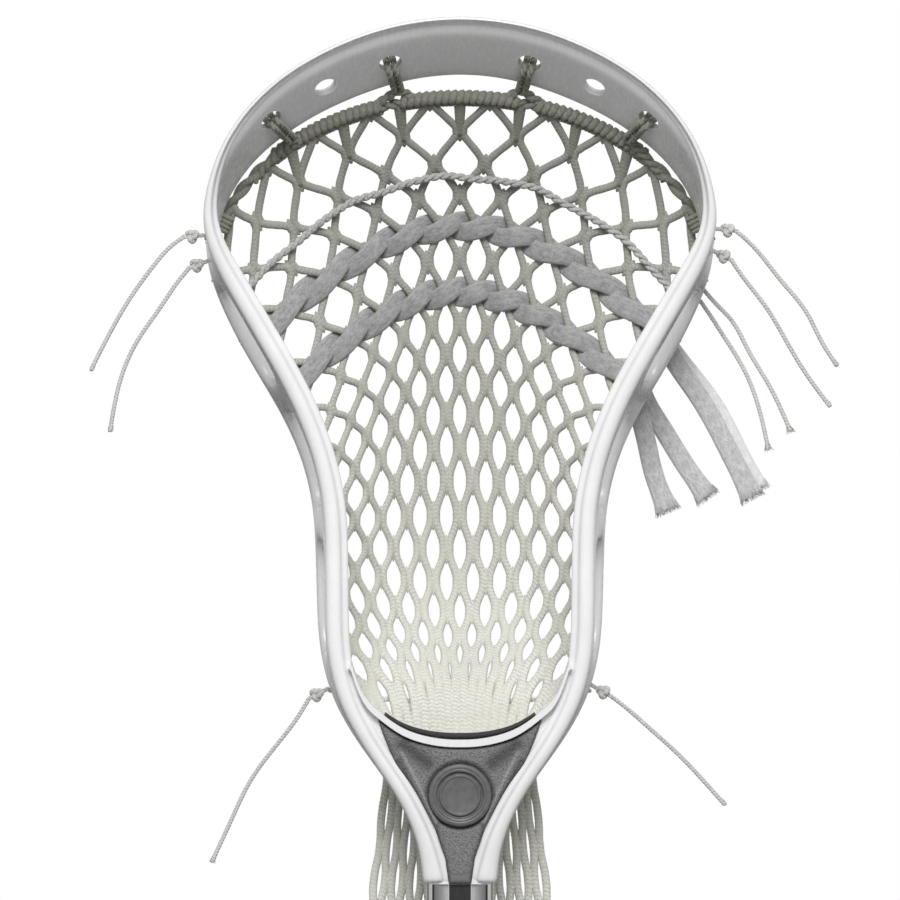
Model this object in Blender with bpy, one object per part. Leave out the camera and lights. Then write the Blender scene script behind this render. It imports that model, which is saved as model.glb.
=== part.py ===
"""Lacrosse stick: a strung plastic head on an octagonal aluminium shaft with a rubber butt cap.

The stick stands upright along +Z. The origin is the centre of the butt cap's flat end, the open face of
the head looks along -Y and the pocket bellies out along +Y. Lengths below are in millimetres, and heights
on the head are measured from the ball stop; new_object() turns both into metres above the butt.
"""
import math

import bmesh
import bpy
import numpy as np
from mathutils import Vector

# Driving dimensions
MILLIMETRE = 0.001
GAP = 0.3                    # clearance kept between pieces that touch
SHAFT_LENGTH = 762.0
CAP_FLOOR = 3.0              # rubber under the end of the shaft
SOCKET_TOP = -8.0            # the shaft's upper end, below the ball stop
BALL_STOP_Z = CAP_FLOOR + GAP + SHAFT_LENGTH - SOCKET_TOP
SCOOP_TOP = 253.8
THROAT_BOTTOM = -51.4

# The front rim's outer edge from the throat to the middle of the scoop: (x, height)
RIM_OUTLINE = [(13.0, -51.4), (14.6, -36.0), (19.4, -24.5), (27.2, -12.0), (34.2, -3.5), (41.0, 7.7),
               (45.7, 19.4), (47.2, 35.0), (47.3, 66.0), (48.6, 86.6), (51.4, 98.2), (56.8, 112.6),
               (64.6, 128.0), (72.9, 142.2), (82.3, 158.4), (88.3, 170.0), (91.1, 181.0),
               (89.6, 192.5), (84.8, 207.5), (75.3, 221.8), (62.0, 234.0), (38.4, 246.2),
               (19.5, 251.8), (0.0, 253.8)]
# How the wall's section changes with height, as (height, value)
RIM_WIDTH = [(-51.4, 10.0), (-42.0, 8.7), (-30.0, 7.0), (-10.0, 6.6), (8.0, 8.0), (25.0, 8.4), (155.0, 8.0),
             (172.0, 6.8), (183.0, 5.4), (195.0, 3.9), (210.0, 3.1), (253.8, 2.8)]
FLARE = [(-51.4, 0.3), (-20.0, 0.6), (5.0, 1.6), (25.0, 2.9), (45.0, 3.6), (80.0, 4.2), (103.0, 4.5),
         (127.0, 6.2), (142.0, 6.4), (158.0, 5.0), (168.0, 2.6), (180.0, -1.0), (192.0, -4.2),
         (208.0, -9.4), (222.0, -13.4), (234.0, -15.8), (246.0, -17.2), (253.8, -17.6)]
WALL = [(-51.4, 9.6), (-20.0, 6.6), (6.0, 6.0), (22.0, 3.6), (40.0, 3.0), (253.8, 3.0)]
RAIL_WIDTH = [(-51.4, 9.6), (-20.0, 7.0), (10.0, 7.0), (40.0, 6.4), (150.0, 6.2), (185.0, 4.4), (210.0, 3.4),
              (253.8, 3.0)]
FRONT_Y = [(-51.4, -15.6), (-20.0, -16.8), (5.0, -16.8), (40.0, -14.2), (90.0, -10.0), (150.0, -8.6),
           (190.0, -10.4), (225.0, -14.0), (253.8, -17.0)]
BACK_Y = [(-51.4, 15.6), (-20.0, 16.6), (5.0, 19.6), (40.0, 25.4), (90.0, 27.6), (150.0, 24.2),
          (190.0, 18.6), (225.0, 14.8), (253.8, 13.4)]
WINDOWS = [(30.0, 49.0, 68.0), (82.0, 98.0, 114.0), (127.0, 142.0, 157.0)]
PLAIN_STATIONS = [-51.4, -49.0, -37.0, -21.0, -5.0, 12.0, 168.0, 180.0, 193.0, 208.0, 222.0, 235.0, 245.5,
                  251.4, 253.8]

# Throat
STOP_CURVE = [(0.0, -0.4), (12.7, 1.0), (21.7, 4.6), (29.5, 10.4), (35.0, 17.5), (38.4, 27.0)]   # (x, height)
PAD_HALF = 27.0
PAD_THICK = 1.2
LIP_HEIGHT = 2.6
LIP_Y = -16.4
RECESS_Y = -13.4             # floor of the recess that holds the throat panel
PANEL_THICK = 1.7
BADGE_Z = -19.9
BADGE_R = 11.0
BADGE_THICK = 2.0
CORE_BACK = 15.4             # back face of the throat block
CORE_SIDE = [(41.0, 18.0), (38.0, 6.0), (29.0, -9.0), (20.0, -20.0), (13.6, -32.0), (10.6, -51.2),
             (0.0, -51.2)]   # (x, height) from the ball stop down to the socket's mouth
PANEL_HALF = 28.6
PANEL_SIDE = [(22.6, -7.4), (15.6, -18.0), (9.0, -31.0), (5.2, -42.0), (3.9, -51.0)]

# Corners of the wall's section that bound its windows, on the outer and inner faces, front to back
OUTER_WEB = (4, 5, 6)
INNER_WEB = (11, 10, 9)
CUT_OVER = 5.0               # how far a cutter runs past what it cuts

# String holes
SCOOP_HOLES = [(24.0, 0.6), (49.2, 0.58), (69.6, 0.5)]     # (distance from the middle, share of the depth)
SCOOP_HOLE_SIZE = (8.2, 9.6)
SIDEWALL_HOLES = [16.0, 40.0, 58.0, 75.0, 98.0, 120.5, 142.0, 162.0, 175.0]
SIDEWALL_HOLE_D = 3.0

# Shaft section: half widths of an octagon with eased corners
SHAFT_HALF_X = 11.7
SHAFT_HALF_Y = 12.7
SHAFT_SECTION = [(3.9, -12.7), (10.5, -6.4), (11.7, -4.4)]
SHAFT_WALL = 1.4
SCREW_Z = -30.0
SCREW_HOLE_D = 4.2
CAP_LENGTH = 30.0

# Pocket rows from the top edge down:
# (row, middle height, drop to the edge, middle spacing, half width, middle y)
POCKET_ROWS = [(-1, 224.6, 46.5, 21.5, 86.0, 16.5), (0, 214.0, 50.0, 20.4, 83.2, 24.0),
               (2, 192.0, 41.0, 14.8, 75.4, 37.0), (4, 169.5, 36.0, 11.6, 64.6, 45.0),
               (6, 146.0, 29.0, 9.9, 55.0, 50.5), (8, 125.0, 21.0, 9.6, 49.0, 55.0),
               (11, 90.0, 8.0, 9.4, 46.4, 59.5), (14, 53.5, -6.0, 9.5, 46.2, 59.0),
               (16, 34.0, -8.0, 8.5, 44.6, 50.0), (18, 21.5, -2.5, 6.6, 41.4, 34.5),
               (19, 12.0, -2.0, 5.4, 36.4, 26.6), (20, -2.5, 0.0, 5.0, 27.0, 20.8)]
HALF_COLUMNS = 5.0
NET_HALF = 1.3               # half thickness of the knitted net
RAIL_TO_NET = 3.0
TAIL_LENGTH = 110.0          # below the ball stop
TAIL_TOP = -4.4
TAIL_Y = 21.4

# Strings and laces
STRING_D = 1.6
TOP_STRING_D = 2.6
SIDE_STRING_D = 2.2
NET_CLEAR = 3 * GAP          # between the net and what is laced over it
EDGE_CLEAR = 5 * GAP         # between the net's edge and a sidewall string
EDGE_REACH = 4.9             # columns out to which the edge strings run
CORD_REACH = 4.7
LACE_REACH = 4.6
LACE_WIDTH = 7.6
LACE_THICK = 2.0
SHOOTING_CORD_ROW = 1.35
UPPER_LACE_ROW = 3.0
LOWER_LACE_ROW = 5.0

LOOP_D = 1.8
LOOP_ROOM = 1.9
KNOT_SIZE = 4.6
KNOTS = {"left_upper_knot": (-94.6, 12.0, 176.6), "left_lower_knot": (-92.9, 12.0, 166.4),
         "right_upper_knot": (94.6, 12.0, 178.8), "right_lower_knot": (93.1, 12.0, 169.6),
         "bottom_left_knot": (-50.6, 12.0, 14.6), "bottom_right_knot": (50.6, 12.0, 15.6)}
# Routes of the free ends, each starting where the string or lace leaves the head
STRING_TAILS = {
    "left_upper_string_tail": [(-97.4, 12.2, 176.4), (-101.5, 12.8, 173.6), (-108.3, 13.6, 166.2),
                               (-115.4, 14.4, 156.6), (-122.0, 15.0, 145.8), (-130.6, 15.6, 129.2)],
    "left_lower_string_tail": [(-95.6, 12.2, 165.4), (-99.8, 12.8, 160.4), (-105.4, 13.6, 152.2),
                               (-114.2, 14.6, 139.4), (-119.6, 15.2, 127.4), (-123.8, 15.8, 107.6)],
    "right_upper_string_tail": [(97.5, 12.2, 178.5), (101.0, 12.8, 175.6), (105.0, 13.4, 171.6),
                                (113.4, 14.2, 161.2), (122.8, 15.0, 149.4), (127.4, 15.4, 140.4),
                                (133.5, 15.8, 130.8)],
    "right_lower_string_tail": [(95.9, 12.2, 168.2), (100.2, 12.8, 162.0), (107.8, 13.6, 152.2),
                                (116.0, 14.6, 138.6), (123.0, 15.2, 127.2), (131.0, 15.8, 116.4)],
    "right_upper_cord_tail": [(86.5, 27.2, 158.0), (91.5, 27.0, 152.4), (96.4, 26.6, 147.2),
                              (102.2, 26.0, 136.8), (109.2, 25.6, 125.0), (117.4, 25.2, 107.6)],
    "right_lower_cord_tail": [(85.5, 30.0, 154.0), (89.2, 30.0, 148.6), (93.2, 29.8, 142.4),
                              (101.0, 29.2, 129.6), (105.4, 28.8, 118.8), (109.6, 28.4, 101.2)],
    "bottom_left_string_tail": [(-53.3, 12.2, 13.2), (-56.8, 12.8, 7.4), (-64.4, 13.6, -2.8),
                                (-73.6, 14.6, -15.2), (-80.4, 15.2, -28.8), (-87.8, 15.8, -44.8)],
    "bottom_right_string_tail": [(53.4, 12.2, 14.0), (57.4, 12.8, 11.0), (66.2, 13.6, 3.4), (77.2, 14.4, -6.6),
                                 (86.0, 15.2, -15.8), (93.8, 15.8, -24.6)],
}
LACE_TAILS = {
    "upper_lace_front_tail": [(71.4, 31.8, 141.2), (76.3, 32.2, 132.6), (85.4, 33.2, 119.4),
                              (95.6, 34.2, 101.0), (104.1, 34.8, 84.4)],
    "upper_lace_back_tail": [(71.4, 35.4, 142.6), (78.4, 36.0, 132.8), (89.8, 37.0, 118.0),
                             (98.2, 37.6, 102.6), (106.0, 38.0, 87.0)],
    "lower_lace_front_tail": [(60.4, 33.0, 128.4), (63.2, 33.2, 116.4), (66.4, 33.4, 104.0),
                              (68.8, 33.7, 93.4), (74.0, 34.0, 79.6)],
    "lower_lace_back_tail": [(63.8, 36.4, 125.4), (66.8, 36.6, 117.6), (71.4, 37.0, 110.0),
                             (78.4, 37.4, 98.6), (88.2, 37.8, 84.4)],
}

COLOURS = {
    "head": ((0.86, 0.86, 0.87), 0.0, 0.25),
    "panel": ((0.14, 0.14, 0.145), 0.0, 0.75),
    "badge": ((0.12, 0.12, 0.125), 0.0, 0.5),
    "pad": ((0.02, 0.02, 0.02), 0.0, 0.9),
    "steel": ((0.6, 0.6, 0.6), 1.0, 0.3),
    "alloy": ((0.55, 0.55, 0.56), 1.0, 0.25),
    "rubber": ((0.02, 0.02, 0.02), 0.0, 0.8),
    "net": ((0.62, 0.62, 0.55), 0.0, 0.95),
    "string": ((0.66, 0.66, 0.64), 0.0, 0.9),
    "lace": ((0.45, 0.45, 0.45), 0.0, 0.95),
}


def clear_scene():
    for obj in list(bpy.data.objects):
        bpy.data.objects.remove(obj, do_unlink=True)


def material(name):
    found = bpy.data.materials.get(name)
    if found:
        return found
    colour, metallic, roughness = COLOURS[name]
    made = bpy.data.materials.new(name)
    made.use_nodes = True
    shader = made.node_tree.nodes["Principled BSDF"]
    shader.inputs["Base Color"].default_value = (*colour, 1.0)
    shader.inputs["Metallic"].default_value = metallic
    shader.inputs["Roughness"].default_value = roughness
    return made


def to_world(point):
    """A point in millimetres, its height from the ball stop, as metres above the butt."""
    return Vector((point[0], point[1], point[2] + BALL_STOP_Z)) * MILLIMETRE


def new_object(name, points, faces, look):
    mesh = bpy.data.meshes.new(name)
    mesh.from_pydata([to_world(p) for p in points], [], faces)
    outward = bmesh.new()
    outward.from_mesh(mesh)
    bmesh.ops.recalc_face_normals(outward, faces=outward.faces)
    outward.to_mesh(mesh)
    outward.free()
    obj = bpy.data.objects.new(name, mesh)
    bpy.context.scene.collection.objects.link(obj)
    if look:
        mesh.materials.append(material(look))
    return obj


def smooth(obj, degrees=35.0):
    obj.data.shade_smooth()
    obj.data.set_sharp_from_angle(angle=math.radians(degrees))
    return obj


def hide_cutter(obj):
    obj.hide_render = True
    obj.display_type = "WIRE"
    return obj


def combine(obj, other, operation):
    step = obj.modifiers.new(operation.lower() + "_" + other.name, "BOOLEAN")
    step.operation = operation
    step.solver = "EXACT"
    step.object = hide_cutter(other)


def spline(knots, at):
    """A natural cubic curve through (position, value) knots, read at one or many positions."""
    places = np.array([k[0] for k in knots], float)
    values = np.array([k[1:] for k in knots], float)
    spans = np.diff(places)
    count = len(places)
    system = np.eye(count)
    slopes = np.diff(values, axis=0) / spans[:, None]
    target = np.zeros_like(values)
    for i in range(1, count - 1):
        system[i, i - 1:i + 2] = spans[i - 1], 2 * (spans[i - 1] + spans[i]), spans[i]
        target[i] = 6 * (slopes[i] - slopes[i - 1])
    bend = np.linalg.solve(system, target)
    at = np.clip(np.atleast_1d(at).astype(float), places[0], places[-1])
    i = np.clip(np.searchsorted(places, at) - 1, 0, count - 2)
    span = spans[i][:, None]
    after = (at - places[i])[:, None]
    before = (places[i + 1] - at)[:, None]
    return (bend[i] * before ** 3 + bend[i + 1] * after ** 3) / (6 * span) \
        + (values[i] / span - bend[i] * span / 6) * before \
        + (values[i + 1] / span - bend[i + 1] * span / 6) * after


def along(table, height):
    """A straight-line reading of a (height, value) table."""
    return float(np.interp(height, [row[0] for row in table], [row[1] for row in table]))


def smooth_route(points, count):
    """Evenly spread points on a smooth curve through a route."""
    points = np.array(points, float)
    steps = np.concatenate([[0], np.cumsum(np.linalg.norm(np.diff(points, axis=0), axis=1))])
    fine = spline([(s, *p) for s, p in zip(steps, points)], np.linspace(0, steps[-1], 40 * len(points)))
    run = np.concatenate([[0], np.cumsum(np.linalg.norm(np.diff(fine, axis=0), axis=1))])
    wanted = np.linspace(0, run[-1], count)
    return np.column_stack([np.interp(wanted, run, fine[:, k]) for k in range(3)])


# The head frame

def rim_station(height, side):
    """Point on the rim's outer edge at a height, and the outward direction there, both in the X-Z plane."""
    knots = [(0.0, *RIM_OUTLINE[0])]
    for last, point in zip(RIM_OUTLINE, RIM_OUTLINE[1:]):
        knots.append((knots[-1][0] + math.dist(last, point), *point))
    knots.append((2 * knots[-1][0] - knots[-2][0], -RIM_OUTLINE[-2][0], RIM_OUTLINE[-2][1]))
    runs = np.linspace(0, knots[-2][0], 1200)
    line = spline(knots, runs)
    nearest = int(np.argmin(np.abs(line[:, 1] - height)))
    if height >= SCOOP_TOP:
        nearest = len(runs) - 1
    ahead = spline(knots, runs[nearest] + 0.5)[0]
    behind = spline(knots, runs[nearest] - 0.5)[0]
    tangent = (ahead - behind) / np.linalg.norm(ahead - behind)
    point = line[nearest]
    return Vector((side * point[0], point[1])), Vector((side * tangent[1], -tangent[0]))


def wall_section(height):
    """The wall's cross section: (distance outward from the rim's outer edge, y), front rim to back rail."""
    rim = along(RIM_WIDTH, height)
    flare = along(FLARE, height)
    wall = along(WALL, height)
    rail = along(RAIL_WIDTH, height)
    front = along(FRONT_Y, height)
    back = along(BACK_Y, height)
    middle = 0.45 * front + 0.55 * back

    def outer(y, share):
        """Distance out to the wall's outer face: the sidewalls flare early, the scoop leans in evenly."""
        return max(flare, 0.0) * share + min(flare, 0.0) * (y - front) / (back - front)

    under = min(-rim + 0.4, outer(front + 5.0, 0.1) - wall)
    root = max(outer(front + 8.6, 0.25) - wall, -rim + 0.2) if flare > 0 else outer(front + 8.6, 0.25) - wall
    return [(-rim, front + 2.4), (-0.72 * rim, front + 0.2), (-0.22 * rim, front), (0.0, front + 1.8),
            (outer(front + 8.0, 0.22), front + 8.0), (outer(middle, 0.6), middle),
            (outer(back - 8.0, 1.0), back - 8.0), (outer(back - 0.6, 1.0) - 0.9, back - 0.6),
            (outer(back, 1.0) - rail + 0.7, back), (outer(back - 6.0, 1.0) - rail, back - 6.0),
            (outer(middle, 0.6) - wall, middle), (root, front + 8.6), (under, front + 5.0)]


def head_wall():
    """The U-shaped wall as a loft of sections, with windows through its web."""
    heights = sorted(set(PLAIN_STATIONS + [z for window in WINDOWS for z in window]))
    stations = [(z, 1) for z in heights] + [(z, -1) for z in reversed(heights[:-1])]
    size = len(wall_section(0.0))
    points = []
    for height, side in stations:
        edge, outward = rim_station(height, side)
        for reach, y in wall_section(height):
            place = edge + outward * reach
            points.append((place.x, y, place.y))
    outer, inner = OUTER_WEB, INNER_WEB
    faces = []
    for i in range(len(stations) - 1):
        low, high = sorted((stations[i][0], stations[i + 1][0]))
        opened = [w for w in WINDOWS if w[0] <= low and high <= w[2]]
        for j in range(size):
            k = (j + 1) % size
            if opened and (j in outer[:2] or j in inner[1:]):
                continue
            faces.append((i * size + j, i * size + k, (i + 1) * size + k, (i + 1) * size + j))
        if opened:
            for a, b in ((outer[0], inner[0]), (outer[2], inner[2])):
                faces.append((i * size + a, i * size + b, (i + 1) * size + b, (i + 1) * size + a))
            for end in (i, i + 1):
                if stations[end][0] in (opened[0][0], opened[0][2]):
                    for m in (0, 1):
                        faces.append((end * size + outer[m], end * size + outer[m + 1],
                                      end * size + inner[m + 1], end * size + inner[m]))
    faces.append(tuple(range(size)))
    faces.append(tuple((len(stations) - 1) * size + j for j in range(size)))
    return new_object("head_frame", points, faces, "head")


def prism(name, outline, low_y, high_y, look=None):
    """An outline in the X-Z plane, extruded along Y."""
    count = len(outline)
    points = [(x, low_y, z) for x, z in outline] + [(x, high_y, z) for x, z in outline]
    faces = [tuple(range(count)), tuple(range(count, 2 * count))]
    faces += [(i, (i + 1) % count, count + (i + 1) % count, count + i) for i in range(count)]
    return new_object(name, points, faces, look)


def mirrored(half):
    """A full outline from its right half, listed from the middle of the top to the middle of the bottom."""
    return half + [(-x, z) for x, z in reversed(half) if x > 0]


def stop_arc(drop, width, count):
    """The ball stop's curve: (x, height) from the middle outward, lowered by drop."""
    knots = [(-STOP_CURVE[1][0], STOP_CURVE[1][1])] + STOP_CURVE
    return [(x, float(spline(knots, x)[0][0]) - drop) for x in np.linspace(0.0, width, count + 1)]


def throat_core():
    half = stop_arc(0.0, STOP_CURVE[-1][0], 10) + CORE_SIDE
    return prism("throat_core", mirrored(half), RECESS_Y, CORE_BACK)


def stop_lip():
    top = stop_arc(0.0, STOP_CURVE[-1][0], 10)
    low = stop_arc(LIP_HEIGHT, STOP_CURVE[-1][0] + 0.8, 10)
    return prism("stop_lip", mirrored(top + list(reversed(low))), LIP_Y, RECESS_Y + 2)


def octagon(grow):
    """The shaft's outline, as (x, y), grown outward."""
    quarter = [(x + grow * x / SHAFT_HALF_X, y + grow * y / SHAFT_HALF_Y) for x, y in SHAFT_SECTION]
    right = quarter + [(x, -y) for x, y in reversed(quarter)]
    return right + [(-x, -y) for x, y in right]


def upright_prism(name, outline, low, high, look=None):
    """An outline in the X-Y plane, extruded along Z."""
    count = len(outline)
    points = [(x, y, low) for x, y in outline] + [(x, y, high) for x, y in outline]
    faces = [tuple(range(count)), tuple(range(count, 2 * count))]
    faces += [(i, (i + 1) % count, count + (i + 1) % count, count + i) for i in range(count)]
    return new_object(name, points, faces, look)


def rod(name, start, end, across, sides=12, tall=None, up=Vector((0, 0, 1))):
    """A round or oval bar between two points."""
    start, end = Vector(start), Vector(end)
    axis = (end - start).normalized()
    side = axis.cross(up).normalized()
    lift = side.cross(axis).normalized()
    wide, high = across / 2, (tall or across) / 2
    points = []
    for centre in (start, end):
        for i in range(sides):
            turn = 2 * math.pi * (i + 0.5) / sides
            points.append(centre + side * math.cos(turn) * wide + lift * math.sin(turn) * high)
    faces = [tuple(range(sides)), tuple(range(sides, 2 * sides))]
    faces += [(i, (i + 1) % sides, sides + (i + 1) % sides, sides + i) for i in range(sides)]
    return new_object(name, points, faces, None)


def scoop_hole_place(x, share):
    """Centre of a scoop hole on the wall's outer face, the direction through the wall and the one down it."""
    heights = np.linspace(190.0, SCOOP_TOP, 120)
    outline = np.array([rim_station(z, 1)[0] for z in heights])
    height = float(np.interp(x + 4.0, outline[::-1, 0], heights[::-1]))
    edge, outward = rim_station(height, 1)
    front, back, flare = along(FRONT_Y, height), along(BACK_Y, height), along(FLARE, height)
    wall = Vector((outward.x * flare, back - front, outward.y * flare)).normalized()
    along_rim = Vector((outward.y, 0.0, -outward.x))
    through = wall.cross(along_rim).normalized()
    centre = Vector((edge.x, front, edge.y)) + wall * ((back - front) / wall.y * share)
    return centre, through, wall


def string_hole_cutters():
    cutters = []
    for side in (1, -1):
        for number, (x, share) in enumerate(SCOOP_HOLES):
            centre, through, wall = scoop_hole_place(x, share)
            flip = Vector((side, 1, 1))
            start, end = (centre - through * 9) * flip, (centre + through * 9) * flip
            cutters.append(rod(f"scoop_hole_{side}_{number}", start, end, SCOOP_HOLE_SIZE[0], 16,
                               SCOOP_HOLE_SIZE[1], wall * flip))
        for number, height in enumerate(SIDEWALL_HOLES):
            edge, outward = rim_station(height, side)
            y = along(BACK_Y, height) - 3.4
            middle = edge + outward * (along(FLARE, height) - along(RAIL_WIDTH, height) / 2)
            start, end = middle - outward * 9, middle + outward * 9
            cutters.append(rod(f"side_hole_{side}_{number}", (start.x, y, start.y), (end.x, y, end.y),
                               SIDEWALL_HOLE_D, 6))
    return cutters


def build_head():
    head = head_wall()
    rounding = head.modifiers.new("rounding", "SUBSURF")
    rounding.levels = rounding.render_levels = 1
    combine(head, throat_core(), "UNION")
    combine(head, stop_lip(), "UNION")
    socket = upright_prism("socket_space", octagon(GAP), THROAT_BOTTOM - CUT_OVER, SOCKET_TOP + GAP)
    combine(head, socket, "DIFFERENCE")
    combine(head, rod("screw_space", (0, 8, SCREW_Z), (0, 25, SCREW_Z), SCREW_HOLE_D), "DIFFERENCE")
    for cutter in string_hole_cutters():
        combine(head, cutter, "DIFFERENCE")
    return smooth(head)


# Throat pieces

def build_throat_panel():
    half = stop_arc(LIP_HEIGHT + GAP, PANEL_HALF, 8) + PANEL_SIDE
    panel = prism("throat_panel", mirrored(half), RECESS_Y - GAP - PANEL_THICK, RECESS_Y - GAP, "panel")
    return smooth(panel)


def turned(name, profile, sides, centre, look):
    """A closed round solid about +Y from (radius, y) points, the first and last on the axis."""
    points = [(centre[0], centre[1] + profile[0][1], centre[2])]
    for radius, y in profile[1:-1]:
        for i in range(sides):
            turn = 2 * math.pi * i / sides
            across, up = radius * math.cos(turn), radius * math.sin(turn)
            points.append((centre[0] + across, centre[1] + y, centre[2] + up))
    points.append((centre[0], centre[1] + profile[-1][1], centre[2]))
    faces = []
    rings = len(profile) - 2
    for i in range(sides):
        k = (i + 1) % sides
        faces.append((0, 1 + i, 1 + k))
        for ring in range(rings - 1):
            base = 1 + ring * sides
            faces.append((base + i, base + sides + i, base + sides + k, base + k))
        last = 1 + (rings - 1) * sides
        faces.append((last + i, len(points) - 1, last + k))
    return smooth(new_object(name, points, faces, look))


def build_throat_badge():
    back = RECESS_Y - 2 * GAP - PANEL_THICK
    front = back - BADGE_THICK
    profile = [(0, front + 0.8), (6.4, front + 0.8), (6.8, front + 1.3), (8.0, front + 1.3), (8.3, front),
               (10.4, front), (BADGE_R, front + 0.7), (BADGE_R, back), (0, back)]
    turned("throat_badge", profile, 24, (0, 0, BADGE_Z), "badge")


def build_ball_stop():
    low = [(x, z + GAP) for x, z in stop_arc(0.0, PAD_HALF, 10)]
    top = [(x, z + GAP + PAD_THICK * math.cos(math.pi / 2 * x / PAD_HALF) ** 0.5)
           for x, z in stop_arc(0.0, PAD_HALF - 0.8, 10)]
    outline = mirrored(top + list(reversed(low)))
    smooth(prism("ball_stop_pad", outline, LIP_Y + 2 * GAP, CORE_BACK - 2 * GAP, "pad"))


def build_head_screw():
    face = CORE_BACK + GAP
    profile = [(0, 7.0), (1.3, 7.0), (1.8, 7.8), (1.8, face), (4.2, face), (4.2, face + 0.6), (3.4, face + 1.6),
               (1.6, face + 2.0), (0, face + 2.0)]
    turned("head_screw", profile, 16, (0, 0, SCREW_Z), "steel")


# Shaft and butt cap

def build_shaft():
    bottom = CAP_FLOOR + GAP - BALL_STOP_Z
    shaft = upright_prism("shaft", octagon(0.0), bottom, SOCKET_TOP, "alloy")
    bore = upright_prism("shaft_bore", octagon(-SHAFT_WALL), bottom - CUT_OVER, SOCKET_TOP + CUT_OVER)
    combine(shaft, bore, "DIFFERENCE")
    hole = rod("shaft_screw_hole", (0, 4, SCREW_Z), (0, 20, SCREW_Z), SCREW_HOLE_D)
    combine(shaft, hole, "DIFFERENCE")
    smooth(shaft, 20.0)


def build_butt_cap():
    ground = -BALL_STOP_Z
    profile = [(15.6, 0.0), (17.0, 1.2), (17.0, 5.0), (15.9, 7.5), (15.6, 26.0), (15.0, CAP_LENGTH)]
    sides = 24
    points = []
    for radius, height in profile:
        for i in range(sides):
            turn = 2 * math.pi * i / sides
            points.append((radius * math.cos(turn), radius * math.sin(turn), ground + height))
    faces = [tuple(range(sides)), tuple(range(sides * (len(profile) - 1), sides * len(profile)))]
    for ring in range(len(profile) - 1):
        for i in range(sides):
            k = (i + 1) % sides
            faces.append((ring * sides + i, ring * sides + k, (ring + 1) * sides + k, (ring + 1) * sides + i))
    cap = new_object("butt_cap", points, faces, "rubber")
    pocket = upright_prism("cap_pocket", octagon(GAP), ground + CAP_FLOOR, ground + CAP_LENGTH + CUT_OVER)
    combine(cap, pocket, "DIFFERENCE")
    smooth(cap)


# Net

def pocket_point(column, row):
    """A point on the net's middle surface. Columns run -5 to 5 across, rows from -1 at the top to 20."""
    middle_z, drop, spacing, half, middle_y = spline(POCKET_ROWS, row)[0]
    share = column / HALF_COLUMNS
    bend = (half - HALF_COLUMNS * spacing) / HALF_COLUMNS ** 3
    edge_z = middle_z - drop
    edge_y = along(BACK_Y, edge_z) + RAIL_TO_NET
    return Vector((spacing * column + bend * column ** 3, edge_y + (middle_y - edge_y) * (1 - share ** 2),
                   middle_z - drop * share ** 2))


def tail_point(column, row):
    """A point on the loose end of the net, which hangs behind the throat. Rows run 0 to 1."""
    half = 26.0 + 8.0 * min(1.0, 1.6 * row)
    return Vector((half * column / HALF_COLUMNS, TAIL_Y + 2.4 * row + 1.5 * (column / HALF_COLUMNS) ** 2,
                   TAIL_TOP - (TAIL_LENGTH + TAIL_TOP) * row))


def surface_normal(surface, column, row, step):
    """The surface's unit normal, pointing to the open face."""
    across = surface(column + 0.05, row) - surface(column - 0.05, row)
    down = surface(column, row + step) - surface(column, row - step)
    normal = across.cross(down).normalized()
    return -normal if normal.y > 0 else normal


def lifted(surface, column, row, lift, step=0.05):
    return surface(column, row) + surface_normal(surface, column, row, step) * lift


def build_sheet(name, surface, wide, rows, step):
    """A closed sheet of even thickness over a surface, as a grid that many points wide."""
    columns = np.linspace(-HALF_COLUMNS, HALF_COLUMNS, wide)
    points = []
    for lift in (NET_HALF, -NET_HALF):
        for row in rows:
            for column in columns:
                points.append(lifted(surface, column, row, lift, step))
    tall = len(rows)
    layer = wide * tall
    faces = []
    for r in range(tall - 1):
        for c in range(wide - 1):
            a = r * wide + c
            faces.append((a, a + 1, a + wide + 1, a + wide))
            faces.append((layer + a, layer + a + wide, layer + a + wide + 1, layer + a + 1))
    border = list(range(wide)) + [r * wide + wide - 1 for r in range(1, tall)]
    border += [(tall - 1) * wide + c for c in range(wide - 2, -1, -1)]
    border += [r * wide for r in range(tall - 2, 0, -1)]
    for a, b in zip(border, border[1:] + border[:1]):
        faces.append((a, b, layer + b, layer + a))
    return smooth(new_object(name, points, faces, "net"), 60.0)


# Strings, laces and cords

def build_string(name, route, diameter, closed=False):
    """A round string as a curve with a bevel."""
    data = bpy.data.curves.new(name, "CURVE")
    data.dimensions = "3D"
    data.bevel_depth = diameter / 2 * MILLIMETRE
    data.bevel_resolution = 2
    data.use_fill_caps = True
    line = data.splines.new("POLY")
    line.points.add(len(route) - 1)
    for slot, point in zip(line.points, route):
        slot.co = (*to_world(point), 1.0)
    line.use_cyclic_u = closed
    data.materials.append(material("string"))
    bpy.context.scene.collection.objects.link(bpy.data.objects.new(name, data))


def build_ribbon(name, route, faces_toward):
    """A flat lace swept along a route, its flat side turned to a direction at each point."""
    route = [Vector(p) for p in route]
    quarter = [(0.5, 0.2), (0.42, 0.5)]
    section = quarter + [(-x, y) for x, y in reversed(quarter)]
    section += [(-x, -y) for x, y in section]
    points = []
    for i, place in enumerate(route):
        tangent = (route[min(i + 1, len(route) - 1)] - route[max(i - 1, 0)]).normalized()
        facing = faces_toward[i]
        side = tangent.cross(facing).normalized()
        lift = side.cross(tangent).normalized()
        points += [place + side * a * LACE_WIDTH + lift * b * LACE_THICK for a, b in section]
    size = len(section)
    faces = [tuple(range(size)), tuple(range(size * (len(route) - 1), size * len(route)))]
    for i in range(len(route) - 1):
        for j in range(size):
            k = (j + 1) % size
            faces.append((i * size + j, i * size + k, (i + 1) * size + k, (i + 1) * size + j))
    smooth(new_object(name, points, faces, "lace"), 50.0)


def row_route(row, lift, reach, count):
    return [lifted(pocket_point, c, row, lift) for c in np.linspace(-reach, reach, count)]


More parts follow.
